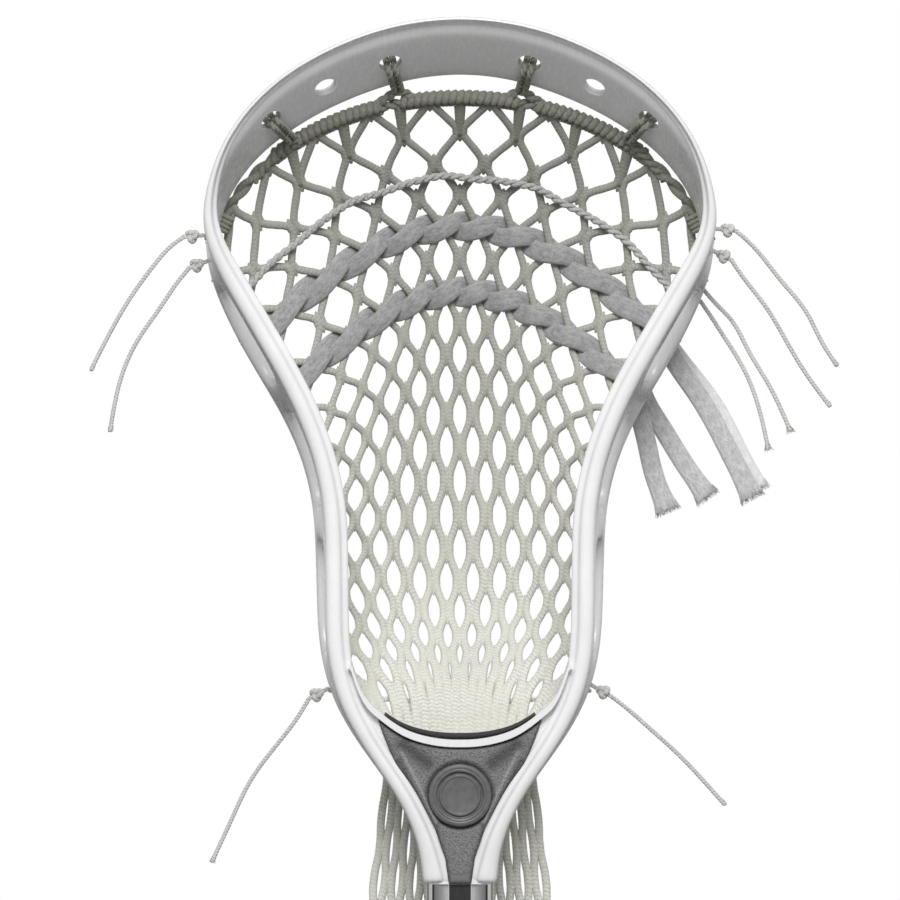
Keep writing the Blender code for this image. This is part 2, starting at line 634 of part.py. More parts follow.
def row_facing(row, reach, count):
    return [surface_normal(pocket_point, c, row, 0.05) for c in np.linspace(-reach, reach, count)]


def build_shooting_strings():
    lift = NET_HALF + NET_CLEAR + STRING_D / 2
    build_string("shooting_cord", row_route(SHOOTING_CORD_ROW, lift, CORD_REACH, 21), STRING_D)
    lift = NET_HALF + NET_CLEAR + LACE_THICK / 2
    for name, row in (("upper_shooting_lace", UPPER_LACE_ROW), ("lower_shooting_lace", LOWER_LACE_ROW)):
        build_ribbon(name, row_route(row, lift, LACE_REACH, 25), row_facing(row, LACE_REACH, 25))


def build_edge_strings():
    """The strings that hold the net's edges to the head: top, two sides and bottom."""
    route = []
    for column in np.linspace(-EDGE_REACH, EDGE_REACH, 23):
        edge, below = pocket_point(column, -1.0), pocket_point(column, -0.9)
        route.append(edge + (edge - below).normalized() * (TOP_STRING_D / 2 + NET_CLEAR))
    build_string("top_string", route, TOP_STRING_D)
    for name, side in (("left_sidewall_string", -1), ("right_sidewall_string", 1)):
        route = []
        for row in np.linspace(-0.4, 18.4, 20):
            edge, inside = pocket_point(side * HALF_COLUMNS, row), pocket_point(side * EDGE_REACH, row)
            route.append(edge + (edge - inside).normalized() * (SIDE_STRING_D / 2 + EDGE_CLEAR))
        build_string(name, route, SIDE_STRING_D)
    build_string("bottom_string", row_route(19.0, -(NET_HALF + GAP + STRING_D / 2), EDGE_REACH, 15), STRING_D)


def build_top_loops():
    """A ring of string through each strung scoop hole and round the scoop's back edge."""
    names = {(-1, 2): "left_outer_top_loop", (-1, 0): "left_inner_top_loop",
             (1, 0): "right_inner_top_loop", (1, 2): "right_outer_top_loop"}
    for (side, number), name in names.items():
        centre, through, wall = scoop_hole_place(*SCOOP_HOLES[number])
        inward = through if through.x < 0 else -through
        depth = along(BACK_Y, centre.z) - centre.y
        reach = depth / wall.y + LOOP_ROOM
        near, far = -LOOP_ROOM, 3.2 + LOOP_ROOM
        corners = [(0.0, near), (0.0, far), (0.5 * reach, far), (reach, far - 0.8), (reach, near + 0.8),
                   (0.5 * reach, near)]
        ring = [centre + wall * a + inward * b for a, b in corners]
        flip = Vector((side, 1, 1))
        route = smooth_route([p * flip for p in ring + ring[:1]], 22)
        build_string(name, route[:-1], LOOP_D, closed=True)


def build_knot(name, centre):
    """A knot pulled tight into a rounded lump."""
    profile = [(0, -0.5), (0.3, -0.42), (0.5, -0.1), (0.46, 0.2), (0.25, 0.44), (0, 0.5)]
    turned(name, [(r * KNOT_SIZE, y * KNOT_SIZE) for r, y in profile], 10, centre, "string")


def build_string_tails():
    for name, route in STRING_TAILS.items():
        length = sum(math.dist(a, b) for a, b in zip(route, route[1:]))
        build_string(name, smooth_route(route, int(length / (3 * STRING_D)) + 1), STRING_D)
    for name, centre in KNOTS.items():
        build_knot(name, centre)


def build_lace_tails():
    for name, route in LACE_TAILS.items():
        points = smooth_route(route, 13)
        build_ribbon(name, points, [Vector((0, -1, 0))] * len(points))


clear_scene()
build_head()
build_throat_panel()
build_throat_badge()
build_ball_stop()
build_head_screw()
build_shaft()
build_butt_cap()
build_sheet("pocket_net", pocket_point, 13, np.linspace(-1, 20, 22), 0.05)
build_sheet("net_tail", tail_point, 7, np.linspace(0, 1, 6), 0.02)
build_shooting_strings()
build_edge_strings()
build_top_loops()
build_string_tails()
build_lace_tails()
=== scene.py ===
"""Looks of the lacrosse stick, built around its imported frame.

Lengths are in millimetres and heights on the head are measured from the ball stop;
to_world() turns both into metres above the butt.
"""
import math

import bmesh
import bpy
import numpy as np
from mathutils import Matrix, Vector


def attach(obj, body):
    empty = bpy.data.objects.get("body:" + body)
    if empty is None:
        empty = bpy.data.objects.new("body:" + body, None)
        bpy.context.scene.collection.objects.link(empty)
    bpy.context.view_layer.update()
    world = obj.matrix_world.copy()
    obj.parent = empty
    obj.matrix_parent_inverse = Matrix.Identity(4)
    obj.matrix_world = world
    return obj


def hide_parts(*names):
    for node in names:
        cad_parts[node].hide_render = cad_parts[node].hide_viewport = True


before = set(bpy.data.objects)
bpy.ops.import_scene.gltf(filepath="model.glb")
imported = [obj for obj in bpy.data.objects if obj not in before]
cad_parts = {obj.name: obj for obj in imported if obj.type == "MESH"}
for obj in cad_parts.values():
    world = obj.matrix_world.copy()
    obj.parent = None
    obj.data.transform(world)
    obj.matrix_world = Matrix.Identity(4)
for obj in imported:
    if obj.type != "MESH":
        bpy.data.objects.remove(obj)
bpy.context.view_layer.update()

MILLIMETRE = 0.001
BALL_STOP_Z = 773.3
SCOOP_TOP = 253.8
THROAT_BOTTOM = -51.4
SOCKET_TOP = -8.0
GAP = 0.3

# The head's sections: the rim's outer edge as (x, height), then (height, value) tables
RIM_OUTLINE = [(13.0, -51.4), (14.6, -36.0), (19.4, -24.5), (27.2, -12.0), (34.2, -3.5), (41.0, 7.7),
               (45.7, 19.4), (47.2, 35.0), (47.3, 66.0), (48.6, 86.6), (51.4, 98.2), (56.8, 112.6),
               (64.6, 128.0), (72.9, 142.2), (82.3, 158.4), (88.3, 170.0), (91.1, 181.0),
               (89.6, 192.5), (84.8, 207.5), (75.3, 221.8), (62.0, 234.0), (38.4, 246.2),
               (19.5, 251.8), (0.0, 253.8)]
RIM_WIDTH = [(-51.4, 10.0), (-42.0, 8.7), (-30.0, 7.0), (-10.0, 6.6), (8.0, 8.0), (25.0, 8.4), (155.0, 8.0),
             (172.0, 6.8), (183.0, 5.4), (195.0, 3.9), (210.0, 3.1), (253.8, 2.8)]
FLARE = [(-51.4, 0.3), (-20.0, 0.6), (5.0, 1.6), (25.0, 2.9), (45.0, 3.6), (80.0, 4.2), (103.0, 4.5),
         (127.0, 6.2), (142.0, 6.4), (158.0, 5.0), (168.0, 2.6), (180.0, -1.0), (192.0, -4.2),
         (208.0, -9.4), (222.0, -13.4), (234.0, -15.8), (246.0, -17.2), (253.8, -17.6)]
WALL = [(-51.4, 9.6), (-20.0, 6.6), (6.0, 6.0), (22.0, 3.6), (40.0, 3.0), (253.8, 3.0)]
RAIL_WIDTH = [(-51.4, 9.6), (-20.0, 7.0), (10.0, 7.0), (40.0, 6.4), (150.0, 6.2), (185.0, 4.4), (210.0, 3.4),
              (253.8, 3.0)]
FRONT_Y = [(-51.4, -15.6), (-20.0, -16.8), (5.0, -16.8), (40.0, -14.2), (90.0, -10.0), (150.0, -8.6),
           (190.0, -10.4), (225.0, -14.0), (253.8, -17.0)]
BACK_Y = [(-51.4, 15.6), (-20.0, 16.6), (5.0, 19.6), (40.0, 25.4), (90.0, 27.6), (150.0, 24.2),
          (190.0, 18.6), (225.0, 14.8), (253.8, 13.4)]
WINDOWS = [(30.0, 49.0, 68.0), (82.0, 98.0, 114.0), (127.0, 142.0, 157.0)]
PLAIN_STATIONS = [-51.4, -49.0, -37.0, -21.0, -5.0, 12.0, 168.0, 180.0, 193.0, 208.0, 222.0, 235.0, 245.5,
                  251.4, 253.8]
STOP_CURVE = [(0.0, -0.4), (12.7, 1.0), (21.7, 4.6), (29.5, 10.4), (35.0, 17.5), (38.4, 27.0)]
LIP_HEIGHT = 2.6
LIP_Y = -16.4
RECESS_Y = -13.4
PANEL_THICK = 1.7
# The panel's half width by height
PANEL_SIDE = [(-51.0, 3.9), (-42.0, 5.2), (-31.0, 9.0), (-18.0, 15.6), (-7.4, 22.6), (6.2, 28.6)]
# Its raised and sunk lines: depth, width, then both ends as (distance from the middle, height)
PANEL_LINES = [(-0.9, 0.9, 20.2, -5.2, 8.2, -29.5), (0.8, 2.6, 19.8, -2.8, 11.5, -9.4),
               (0.6, 0.9, 21.4, -8.2, 8.2, -34.0)]
BADGE_Z = -19.9
BADGE_R = 11.0
BADGE_THICK = 2.0
PAD_HALF = 27.0
PAD_THICK = 1.2
SCOOP_HOLES = [(24.0, 0.6), (49.2, 0.58), (69.6, 0.5)]
SCOOP_HOLE_SIZE = (8.2, 9.6)
SIDEWALL_HOLES = [16.0, 40.0, 58.0, 75.0, 98.0, 120.5, 142.0, 162.0, 175.0]
SIDEWALL_HOLE_D = 3.0
SHAFT_HALF_X = 11.7
SHAFT_HALF_Y = 12.7
SHAFT_SECTION = [(3.9, -12.7), (10.5, -6.4), (11.7, -4.4)]
SHAFT_WALL = 1.4
SCREW_Z = -30.0
# Painted reflections and shade: brightness of the shaft's flats, from its middle line (0) to its side (1)
FACET_PAINTED_LIGHT = [(0.33, 0.95), (0.58, 0.5), (0.76, 0.3), (0.79, 0.04), (0.82, 0.04), (0.85, 0.95), (0.93, 0.8),
               (0.955, 0.06), (0.975, 0.06), (0.985, 0.85)]
CAP_FLOOR = 3.0
CAP_LENGTH = 30.0

# The net's rows: (row, middle height, drop to the edge, middle spacing, half width, middle y)
POCKET_ROWS = [(-1, 224.6, 46.5, 21.5, 86.0, 16.5), (0, 214.0, 50.0, 20.4, 83.2, 24.0),
               (2, 192.0, 41.0, 14.8, 75.4, 37.0), (4, 169.5, 36.0, 11.6, 64.6, 45.0),
               (6, 146.0, 29.0, 9.9, 55.0, 50.5), (8, 125.0, 21.0, 9.6, 49.0, 55.0),
               (11, 90.0, 8.0, 9.4, 46.4, 59.5), (14, 53.5, -6.0, 9.5, 46.2, 59.0),
               (16, 34.0, -8.0, 8.5, 44.6, 50.0), (18, 21.5, -2.5, 6.6, 41.4, 34.5),
               (19, 12.0, -2.0, 5.4, 36.4, 26.6), (20, -2.5, 0.0, 5.0, 27.0, 20.8)]
HALF_COLUMNS = 5.0
NET_HALF = 1.3
RAIL_TO_NET = 3.0
TAIL_LENGTH = 110.0
TAIL_TOP = -4.4
TAIL_Y = 21.4
# The rows where the pocket's strands start and end, and the number of rows in the tail
NET_ROWS = (-1.2, 20.3)
TAIL_ROWS = 9
# The column where the strings across the net end
LACING_END = 4.95
# Length of one knitted stitch along a strand
STITCH_PITCH = 1.45
# Width of a knitted strand by row of the net
STRAND_WIDTH = [(-1.5, 3.0), (2.0, 2.8), (5.0, 2.6), (8.0, 2.6), (14.0, 2.8), (16.0, 3.0), (18.0, 3.5),
                (21.0, 4.0)]
STRAND_THICK = 2.0
# Heights above the butt, in metres, between which the painted shade on the strings deepens
SHADE_LOW = 0.79
SHADE_HIGH = 0.99
# How long two strands stay side by side at a joint, by row
JOINT_HOLD = [(-1.5, 0.10), (2.0, 0.12), (5.0, 0.13), (8.0, 0.1), (16.0, 0.1), (18.0, 0.14), (21.0, 0.2)]
# How much a joint bulges past its two strands, by row
JOINT_SPREAD = [(-1.5, 1.8), (3.0, 1.8), (6.0, 1.6), (8.0, 1.3), (21.0, 1.2)]
# Half the length of a joint in rows, by row
JOINT_REACH = [(-1.5, 0.3), (3.0, 0.36), (6.0, 0.4), (8.0, 0.42), (16.0, 0.45), (21.0, 0.6)]
# How much the legs between joints curve, by row
LEG_CURL = [(-1.5, 0.15), (3.0, 0.35), (7.0, 1.0), (21.0, 1.0)]

# Dark, light and grimy colour of each yarn, and how much painted shade darkens it towards the scoop
YARNS = {"net_knit": ((0.46, 0.46, 0.40), (0.88, 0.88, 0.82), (0.70, 0.70, 0.62), 0.6),
         "string_braid": ((0.50, 0.50, 0.48), (0.90, 0.90, 0.88), (0.76, 0.76, 0.73), 0.5),
         "string_olive": ((0.40, 0.405, 0.32), (0.78, 0.78, 0.68), (0.60, 0.605, 0.48), 0.62),
         "string_tail_braid": ((0.36, 0.36, 0.35), (0.80, 0.80, 0.78), (0.62, 0.62, 0.60), 0.0)}
# Darkest and lightest grey of each lace's fibres
LACE_FIBRES = {"lace_cotton": (0.20, 0.48), "lace_tail_cotton": (0.34, 0.72),
               "lace_cotton_pale": (0.62, 0.88)}
STRING_D = 1.6
LACE_WIDTH = 7.6
LACE_THICK = 1.8
SHOOTING_CORD_ROW = 1.35
UPPER_LACE_ROW = 3.0
LOWER_LACE_ROW = 5.0
KNOTS = {"left_upper_knot": (-94.6, 12.0, 176.6), "left_lower_knot": (-92.9, 12.0, 166.4),
         "right_upper_knot": (94.6, 12.0, 178.8), "right_lower_knot": (93.1, 12.0, 169.6),
         "bottom_left_knot": (-50.6, 12.0, 14.6), "bottom_right_knot": (50.6, 12.0, 15.6)}
STRING_TAILS = {
    "left_upper_string_tail": [
        (-97.4, 12.2, 176.4), (-101.5, 12.8, 173.6), (-108.3, 13.6, 166.2), (-115.4, 14.4, 156.6),
        (-122.0, 15.0, 145.8), (-130.6, 15.6, 129.2)],
    "left_lower_string_tail": [
        (-95.6, 12.2, 165.4), (-99.8, 12.8, 160.4), (-105.4, 13.6, 152.2), (-114.2, 14.6, 139.4),
        (-119.6, 15.2, 127.4), (-123.8, 15.8, 107.6)],
    "right_upper_string_tail": [
        (97.5, 12.2, 178.5), (101.0, 12.8, 175.6), (105.0, 13.4, 171.6), (113.4, 14.2, 161.2),
        (122.8, 15.0, 149.4), (127.4, 15.4, 140.4), (133.5, 15.8, 130.8)],
    "right_lower_string_tail": [
        (95.9, 12.2, 168.2), (100.2, 12.8, 162.0), (107.8, 13.6, 152.2), (116.0, 14.6, 138.6),
        (123.0, 15.2, 127.2), (131.0, 15.8, 116.4)],
    "right_upper_cord_tail": [
        (86.5, 27.2, 158.0), (91.5, 27.0, 152.4), (96.4, 26.6, 147.2), (102.2, 26.0, 136.8),
        (109.2, 25.6, 125.0), (117.4, 25.2, 107.6)],
    "right_lower_cord_tail": [
        (85.5, 30.0, 154.0), (89.2, 30.0, 148.6), (93.2, 29.8, 142.4), (101.0, 29.2, 129.6),
        (105.4, 28.8, 118.8), (109.6, 28.4, 101.2)],
    "bottom_left_string_tail": [
        (-53.3, 12.2, 13.2), (-56.8, 12.8, 7.4), (-64.4, 13.6, -2.8), (-73.6, 14.6, -15.2),
        (-80.4, 15.2, -28.8), (-87.8, 15.8, -44.8)],
    "bottom_right_string_tail": [
        (53.4, 12.2, 14.0), (57.4, 12.8, 11.0), (66.2, 13.6, 3.4), (77.2, 14.4, -6.6),
        (86.0, 15.2, -15.8), (93.8, 15.8, -24.6)],
}
LACE_TAILS = {
    "upper_lace_front_tail": [
        (71.4, 31.8, 141.2), (76.3, 32.2, 132.6), (85.4, 33.2, 119.4), (95.6, 34.2, 101.0),
        (104.1, 34.8, 84.4)],
    "upper_lace_back_tail": [
        (71.4, 35.4, 142.6), (78.4, 36.0, 132.8), (89.8, 37.0, 118.0), (98.2, 37.6, 102.6),
        (106.0, 38.0, 87.0)],
    "lower_lace_front_tail": [
        (60.4, 33.0, 128.4), (63.2, 33.2, 116.4), (66.4, 33.4, 104.0), (68.8, 33.7, 93.4),
        (74.0, 34.0, 79.6)],
    "lower_lace_back_tail": [
        (63.8, 36.4, 125.4), (66.8, 36.6, 117.6), (71.4, 37.0, 110.0), (78.4, 37.4, 98.6),
        (88.2, 37.8, 84.4)],
}
# Side, number of the scoop hole and column of the net for each loop
TOP_LOOPS = {"left_outer_top_loop": (-1, 2, 3.35), "left_inner_top_loop": (-1, 0, 1.12),
             "right_inner_top_loop": (1, 0, 1.12), "right_outer_top_loop": (1, 2, 3.35)}
# How far a cutter runs past what it cuts
CUT_OVER = 5
SCREW_HOLE_D = 4.2
THROAT_BACK = 15.4
TO_FACE = np.array((0.0, -1.0, 0.0))

CAMERA_PLACE = (-0.0035, -3.0, 0.8743)
CAMERA_LENS = 340.9
LIGHT_TARGET = (0, 0, 0.9)
FLOOR_HALF = 1.2
FLOOR_Z = -0.0005
# How brightly the surround lights the stick, from straight below (0) to straight above (1)
SKY = [(0.42, 0.0), (0.49, 0.75), (0.60, 0.75), (0.85, 0.12)]
rng = np.random.default_rng(7)


# Camera, light and floor

def make_camera():
    """A long lens level with the head, looking at its open face."""
    data = bpy.data.cameras.new("camera")
    data.sensor_width = 36.0
    data.lens = CAMERA_LENS
    data.clip_end = 50.0
    camera = bpy.data.objects.new("camera", data)
    camera.location = CAMERA_PLACE
    camera.rotation_euler = (math.pi / 2, 0.0, 0.0)
    bpy.context.scene.collection.objects.link(camera)
    bpy.context.scene.camera = camera


def area_light(name, place, size, power, spread):
    """A soft rectangular light aimed at the stick, its spread in degrees."""
    data = bpy.data.lights.new(name, "AREA")
    data.shape = "RECTANGLE"
    data.size, data.size_y = size
    data.energy = power
    data.spread = math.radians(spread)
    light = bpy.data.objects.new(name, data)
    light.location = place
    light.rotation_euler = (Vector(LIGHT_TARGET) - Vector(place)).to_track_quat("-Z", "Y").to_euler()
    bpy.context.scene.collection.objects.link(light)


def make_world():
    """A white surround for the camera, which lights the stick softly from above and less from below."""
    world = bpy.data.worlds.new("studio")
    bpy.context.scene.world = world
    world.use_nodes = True
    nodes = Nodes(world.node_tree)
    nodes.tree.nodes.clear()
    height = nodes.add("SeparateXYZ", {0: nodes.add("TexCoord").outputs["Generated"]}).outputs["Z"]
    level = nodes.add("MapRange", {"Value": height, "From Min": -1.0}).outputs["Result"]
    lighting = nodes.add("Background", {"Color": nodes.ramp(level, [(place, grey(v)) for place, v in SKY])})
    seen = nodes.add("Background", {"Color": (1, 1, 1, 1), "Strength": 1.0})
    to_camera = nodes.add("LightPath").outputs["Is Camera Ray"]
    both = nodes.add("MixShader", {"Fac": to_camera, 1: lighting.outputs[0], 2: seen.outputs[0]})
    nodes.add("OutputWorld", {"Surface": both.outputs[0]})


def make_studio():
    """The surround, two soft lights and a pale floor under the butt cap."""
    make_world()
    area_light("front_light", (0.0, -1.8, 2.2), (1.3, 0.8), 7.5, 64)
    area_light("back_light", (0.0, 1.9, 1.5), (1.6, 1.0), 1.0, 80)
    mesh = bpy.data.meshes.new("floor")
    corners = [(x * FLOOR_HALF, y * FLOOR_HALF, FLOOR_Z) for x, y in ((-1, -1), (1, -1), (1, 1), (-1, 1))]
    mesh.from_pydata(corners, [], [(0, 1, 2, 3)])
    floor = bpy.data.objects.new("floor", mesh)
    bpy.context.scene.collection.objects.link(floor)
    mesh.materials.append(plain_material("floor_paint", (0.86, 0.86, 0.86), 0.7))
    view = bpy.context.scene.view_settings
    view.view_transform = "Standard"
    view.look = "None"


# Materials

def plain_material(name, colour, roughness, metallic=0.0):
    """A new material with these values on its shader."""
    made = bpy.data.materials.new(name)
    made.use_nodes = True
    shader = made.node_tree.nodes["Principled BSDF"]
    shader.inputs["Base Color"].default_value = (*colour, 1.0)
    shader.inputs["Roughness"].default_value = roughness
    shader.inputs["Metallic"].default_value = metallic
    return made


class Nodes:
    """A node tree under construction: short ways to add and join its nodes."""

    def __init__(self, tree):
        self.tree = tree

    def add(self, kind, inputs=None, **settings):
        node = self.tree.nodes.new("ShaderNode" + kind)
        for key, value in settings.items():
            setattr(node, key, value)
        for key, value in (inputs or {}).items():
            if isinstance(value, bpy.types.NodeSocket):
                self.tree.links.new(value, node.inputs[key])
            else:
                node.inputs[key].default_value = value
        return node

    def place(self):
        return self.add("TexCoord").outputs["Object"]

    def strand(self):
        return self.add("UVMap", uv_map="strand").outputs["UV"]

    def stretched(self, source, scale):
        return self.add("Mapping", {"Vector": source, "Scale": scale}).outputs["Vector"]

    def noise(self, source, scale, detail=3.0, roughness=0.55):
        return self.add("TexNoise", {"Vector": source, "Scale": scale, "Detail": detail,
                                     "Roughness": roughness}).outputs["Fac"]

    def maths(self, operation, *values):
        return self.add("Math", dict(enumerate(values)), operation=operation).outputs[0]

    def axis(self, source, name):
        return self.add("SeparateXYZ", {"Vector": source}).outputs[name]

    def between(self, source, low, high):
        """0 where the source is low, 1 where it is high."""
        return self.add("MapRange", {"Value": source, "From Min": low, "From Max": high}).outputs["Result"]

    def ramp(self, factor, stops):
        node = self.add("ValToRGB", {"Fac": factor})
        bars = node.color_ramp.elements
        while len(bars) < len(stops):
            bars.new(0.5)
        for bar, (position, colour) in zip(bars, stops):
            bar.position = position
            bar.color = (*colour, 1.0)
        return node.outputs["Color"]

    def mix(self, factor, first, second, blend="MIX"):
        node = self.add("Mix", {0: factor, 6: first, 7: second}, data_type="RGBA", blend_type=blend)
        return node.outputs[2]


class Looks(Nodes):
    """A material under construction."""

    def __init__(self, name, colour, roughness, metallic=0.0):
        self.material = plain_material(name, colour, roughness, metallic)
        super().__init__(self.material.node_tree)
        self.shader = self.tree.nodes["Principled BSDF"]

    def drive(self, socket, source):
        self.tree.links.new(source, self.shader.inputs[socket])

    def fixed(self, values):
        for socket, value in values.items():
            self.shader.inputs[socket].default_value = value

    def colour(self, source):
        self.drive("Base Color", source)

    def bump(self, height, distance, strength=1.0):
        node = self.add("Bump", {"Height": height, "Distance": distance, "Strength": strength})
        self.drive("Normal", node.outputs[0])
        return self


def grey(value):
    return (value, value, value)


def head_plastic():
    """Glossy white moulding, faintly clouded, with fine scuffs that dull its gloss."""
    looks = Looks("head_plastic", (0.8, 0.8, 0.81), 0.26)
    place = looks.place()
    cloud = looks.noise(place, 60.0)
    looks.colour(looks.ramp(cloud, [(0.3, (0.78, 0.78, 0.79)), (0.7, (0.83, 0.83, 0.835))]))
    fine = looks.noise(place, 1400.0, 2.0)
    scuff = looks.noise(looks.stretched(place, (3.0, 1.0, 0.4)), 260.0, 5.0, 0.7)
    looks.drive("Roughness", looks.maths("MULTIPLY_ADD", scuff, 0.16, 0.19))
    looks.fixed({"Coat Weight": 0.25, "Coat Roughness": 0.12})
    return looks.bump(fine, 0.00008, 0.35).material


def grip_material():
    """Dark moulded grip: a pebble grain that stops in an arc above the smooth stem, and painted shade where
    its face is sunk.
    """
    looks = Looks("throat_grip", (0.16, 0.16, 0.165), 0.62)
    place = looks.place()
    cells = looks.add("TexVoronoi", {"Vector": place, "Scale": 1900.0, "Randomness": 0.9},
                      feature="SMOOTH_F1").outputs["Distance"]
    speck = looks.noise(place, 1500.0, 2.0)
    split = looks.add("SeparateXYZ", {"Vector": place})
    square = looks.maths("MULTIPLY", split.outputs["X"], split.outputs["X"])
    arc = looks.maths("MINIMUM", looks.maths("MULTIPLY", square, 80.0), 0.002)
    grainy = looks.between(looks.maths("SUBTRACT", split.outputs["Z"], arc), 0.7253, 0.7261)
    pebble = looks.ramp(cells, [(0.1, grey(0.42)), (0.45, grey(0.22)), (0.8, grey(0.12))])
    worn = looks.mix(looks.ramp(speck, [(0.4, grey(0.0)), (0.72, grey(0.8))]), pebble, (0.36, 0.36, 0.365, 1))
    # Painted shade: the deeper the panel's face is sunk, the darker it is painted, so its grooves and rounded
    # edges look shaded.
    depth = looks.add("Attribute", attribute_name="hollow").outputs["Fac"]
    sunk = looks.between(depth, -0.9, 0.9)
    painted_shade = looks.ramp(sunk, [(0.0, grey(1.0)), (0.5, grey(0.62)), (1.0, grey(0.2))])
    moulded = looks.mix(grainy, (0.26, 0.26, 0.265, 1), worn)
    looks.colour(looks.mix(1.0, moulded, painted_shade, "MULTIPLY"))
    rise = looks.maths("MULTIPLY", looks.maths("SUBTRACT", 1.0, cells), grainy)
    return looks.bump(rise, 0.0004, 0.8).material


def badge_material():
    """Dark satin plastic with a very fine grain."""
    looks = Looks("badge_plastic", (0.13, 0.13, 0.135), 0.38)
    place = looks.place()
    looks.colour(looks.ramp(looks.noise(place, 400.0), [(0.3, grey(0.10)), (0.7, grey(0.14))]))
    return looks.bump(looks.noise(place, 2200.0, 2.0), 0.00006, 0.5).material


def foam_material():
    """Black foam with open cells."""
    looks = Looks("foam_pad", grey(0.02), 0.9)
    cells = looks.add("TexVoronoi", {"Vector": looks.place(), "Scale": 1500.0}).outputs["Distance"]
    looks.colour(looks.ramp(cells, [(0.2, grey(0.010)), (0.8, grey(0.035))]))
    return looks.bump(cells, 0.0002, 0.8).material


def steel_material():
    """Plated steel with turning marks."""
    looks = Looks("screw_steel", grey(0.6), 0.3, 1.0)
    marks = looks.noise(looks.stretched(looks.place(), (1.0, 1.0, 6.0)), 900.0)
    looks.colour(looks.ramp(marks, [(0.3, grey(0.5)), (0.7, grey(0.68))]))
    return looks.bump(marks, 0.00003, 0.6).material


def alloy_material():
    """Polished aluminium drawn along its length, with painted reflections and shade across it and a black
    stripe down the front and back flats.
    """
    looks = Looks("shaft_alloy", grey(0.5), 0.28, 1.0)
    place = looks.place()
    drawn = looks.noise(looks.stretched(place, (1.0, 1.0, 0.02)), 2600.0, 4.0, 0.7)
    scratches = looks.noise(looks.stretched(place, (1.0, 1.0, 0.2)), 700.0, 6.0, 0.75)
    across = looks.maths("ABSOLUTE", looks.axis(place, "X"))
    stripe = looks.between(across, 0.00386, 0.00376)
    metal = looks.ramp(drawn, [(0.25, grey(0.62)), (0.75, grey(0.86))])
    # Painted reflections and shade: bands of dark and light across the flats, multiplied into the metal's
    # colour.
    facet = looks.between(across, 0.0, SHAFT_HALF_X * MILLIMETRE)
    facet_painted_light = looks.ramp(facet, [(place, grey(value)) for place, value in FACET_PAINTED_LIGHT])
    shaded = looks.mix(1.0, metal, facet_painted_light, "MULTIPLY")
    looks.colour(looks.mix(stripe, shaded, (0.006, 0.006, 0.007, 1)))
    looks.drive("Metallic", looks.maths("SUBTRACT", 1.0, stripe))
    looks.drive("Roughness", looks.ramp(scratches, [(0.3, grey(0.20)), (0.75, grey(0.36))]))
    return looks.bump(drawn, 0.00002, 0.6).material


def rubber_material():
    """Matte black rubber, a little dusty."""
    looks = Looks("cap_rubber", grey(0.025), 0.75)
    place = looks.place()
    dust = looks.noise(place, 160.0, 6.0, 0.7)
    looks.colour(looks.ramp(dust, [(0.35, grey(0.016)), (0.75, grey(0.045))]))
    return looks.bump(looks.noise(place, 1800.0, 3.0), 0.0001, 0.7).material


def knit_material(name, dark, light, tint, top_shade):
    """Knitted cord: V-shaped stitches along each strand, fuzz, grimy patches, and painted shade that deepens
    upwards.
    """
    looks = Looks(name, light, 0.9)
    place = looks.place()
    split = looks.add("SeparateXYZ", {"Vector": looks.strand()})
    lean = looks.maths("PINGPONG", split.outputs["X"], 0.75)
    course = looks.maths("ADD", split.outputs["Y"], lean)
    wave = looks.maths("SINE", looks.maths("MULTIPLY", course, 2 * math.pi / STITCH_PITCH))
    fuzz = looks.noise(place, 1900.0, 3.0, 0.7)
    cloud = looks.noise(place, 55.0, 3.0)
    stitch = looks.maths("ADD", looks.maths("MULTIPLY", wave, 0.11), fuzz)
    base = looks.ramp(stitch, [(0.22, dark), (0.78, light)])
    base = looks.mix(looks.ramp(cloud, [(0.42, grey(0.0)), (0.66, grey(0.75))]), base, (*tint, 1.0))
    # Painted shade: the higher the cord lies, towards the scoop, the darker it is painted.
    high = looks.between(looks.axis(place, "Z"), SHADE_LOW, SHADE_HIGH)
    shade = looks.ramp(high, [(0.0, grey(1.0)), (0.5, grey(1 - 0.55 * top_shade)), (1.0, grey(1 - top_shade))])
    looks.colour(looks.mix(1.0, base, shade, "MULTIPLY"))
    looks.fixed({"Sheen Weight": 0.25, "Sheen Roughness": 0.6, "Specular IOR Level": 0.2})
    return looks.bump(stitch, 0.0003, 0.9).material


def fibre_material(name, dark, light):
    """Flat woven lace: long soft fibres lying along it."""
    looks = Looks(name, light, 0.92)
    fibres = looks.noise(looks.stretched(looks.strand(), (1.0, 0.13, 1.0)), 2.6, 5.0, 0.72)
    fuzz = looks.noise(looks.place(), 1500.0, 3.0, 0.7)
    both = looks.maths("ADD", looks.maths("MULTIPLY", fibres, 0.7), looks.maths("MULTIPLY", fuzz, 0.3))
    looks.colour(looks.ramp(both, [(0.33, dark), (0.68, light)]))
    looks.fixed({"Sheen Weight": 0.3, "Specular IOR Level": 0.15})
    return looks.bump(both, 0.0005, 0.8).material


# Curves and surfaces

def to_world(point):
    return Vector((point[0], point[1], point[2] + BALL_STOP_Z)) * MILLIMETRE


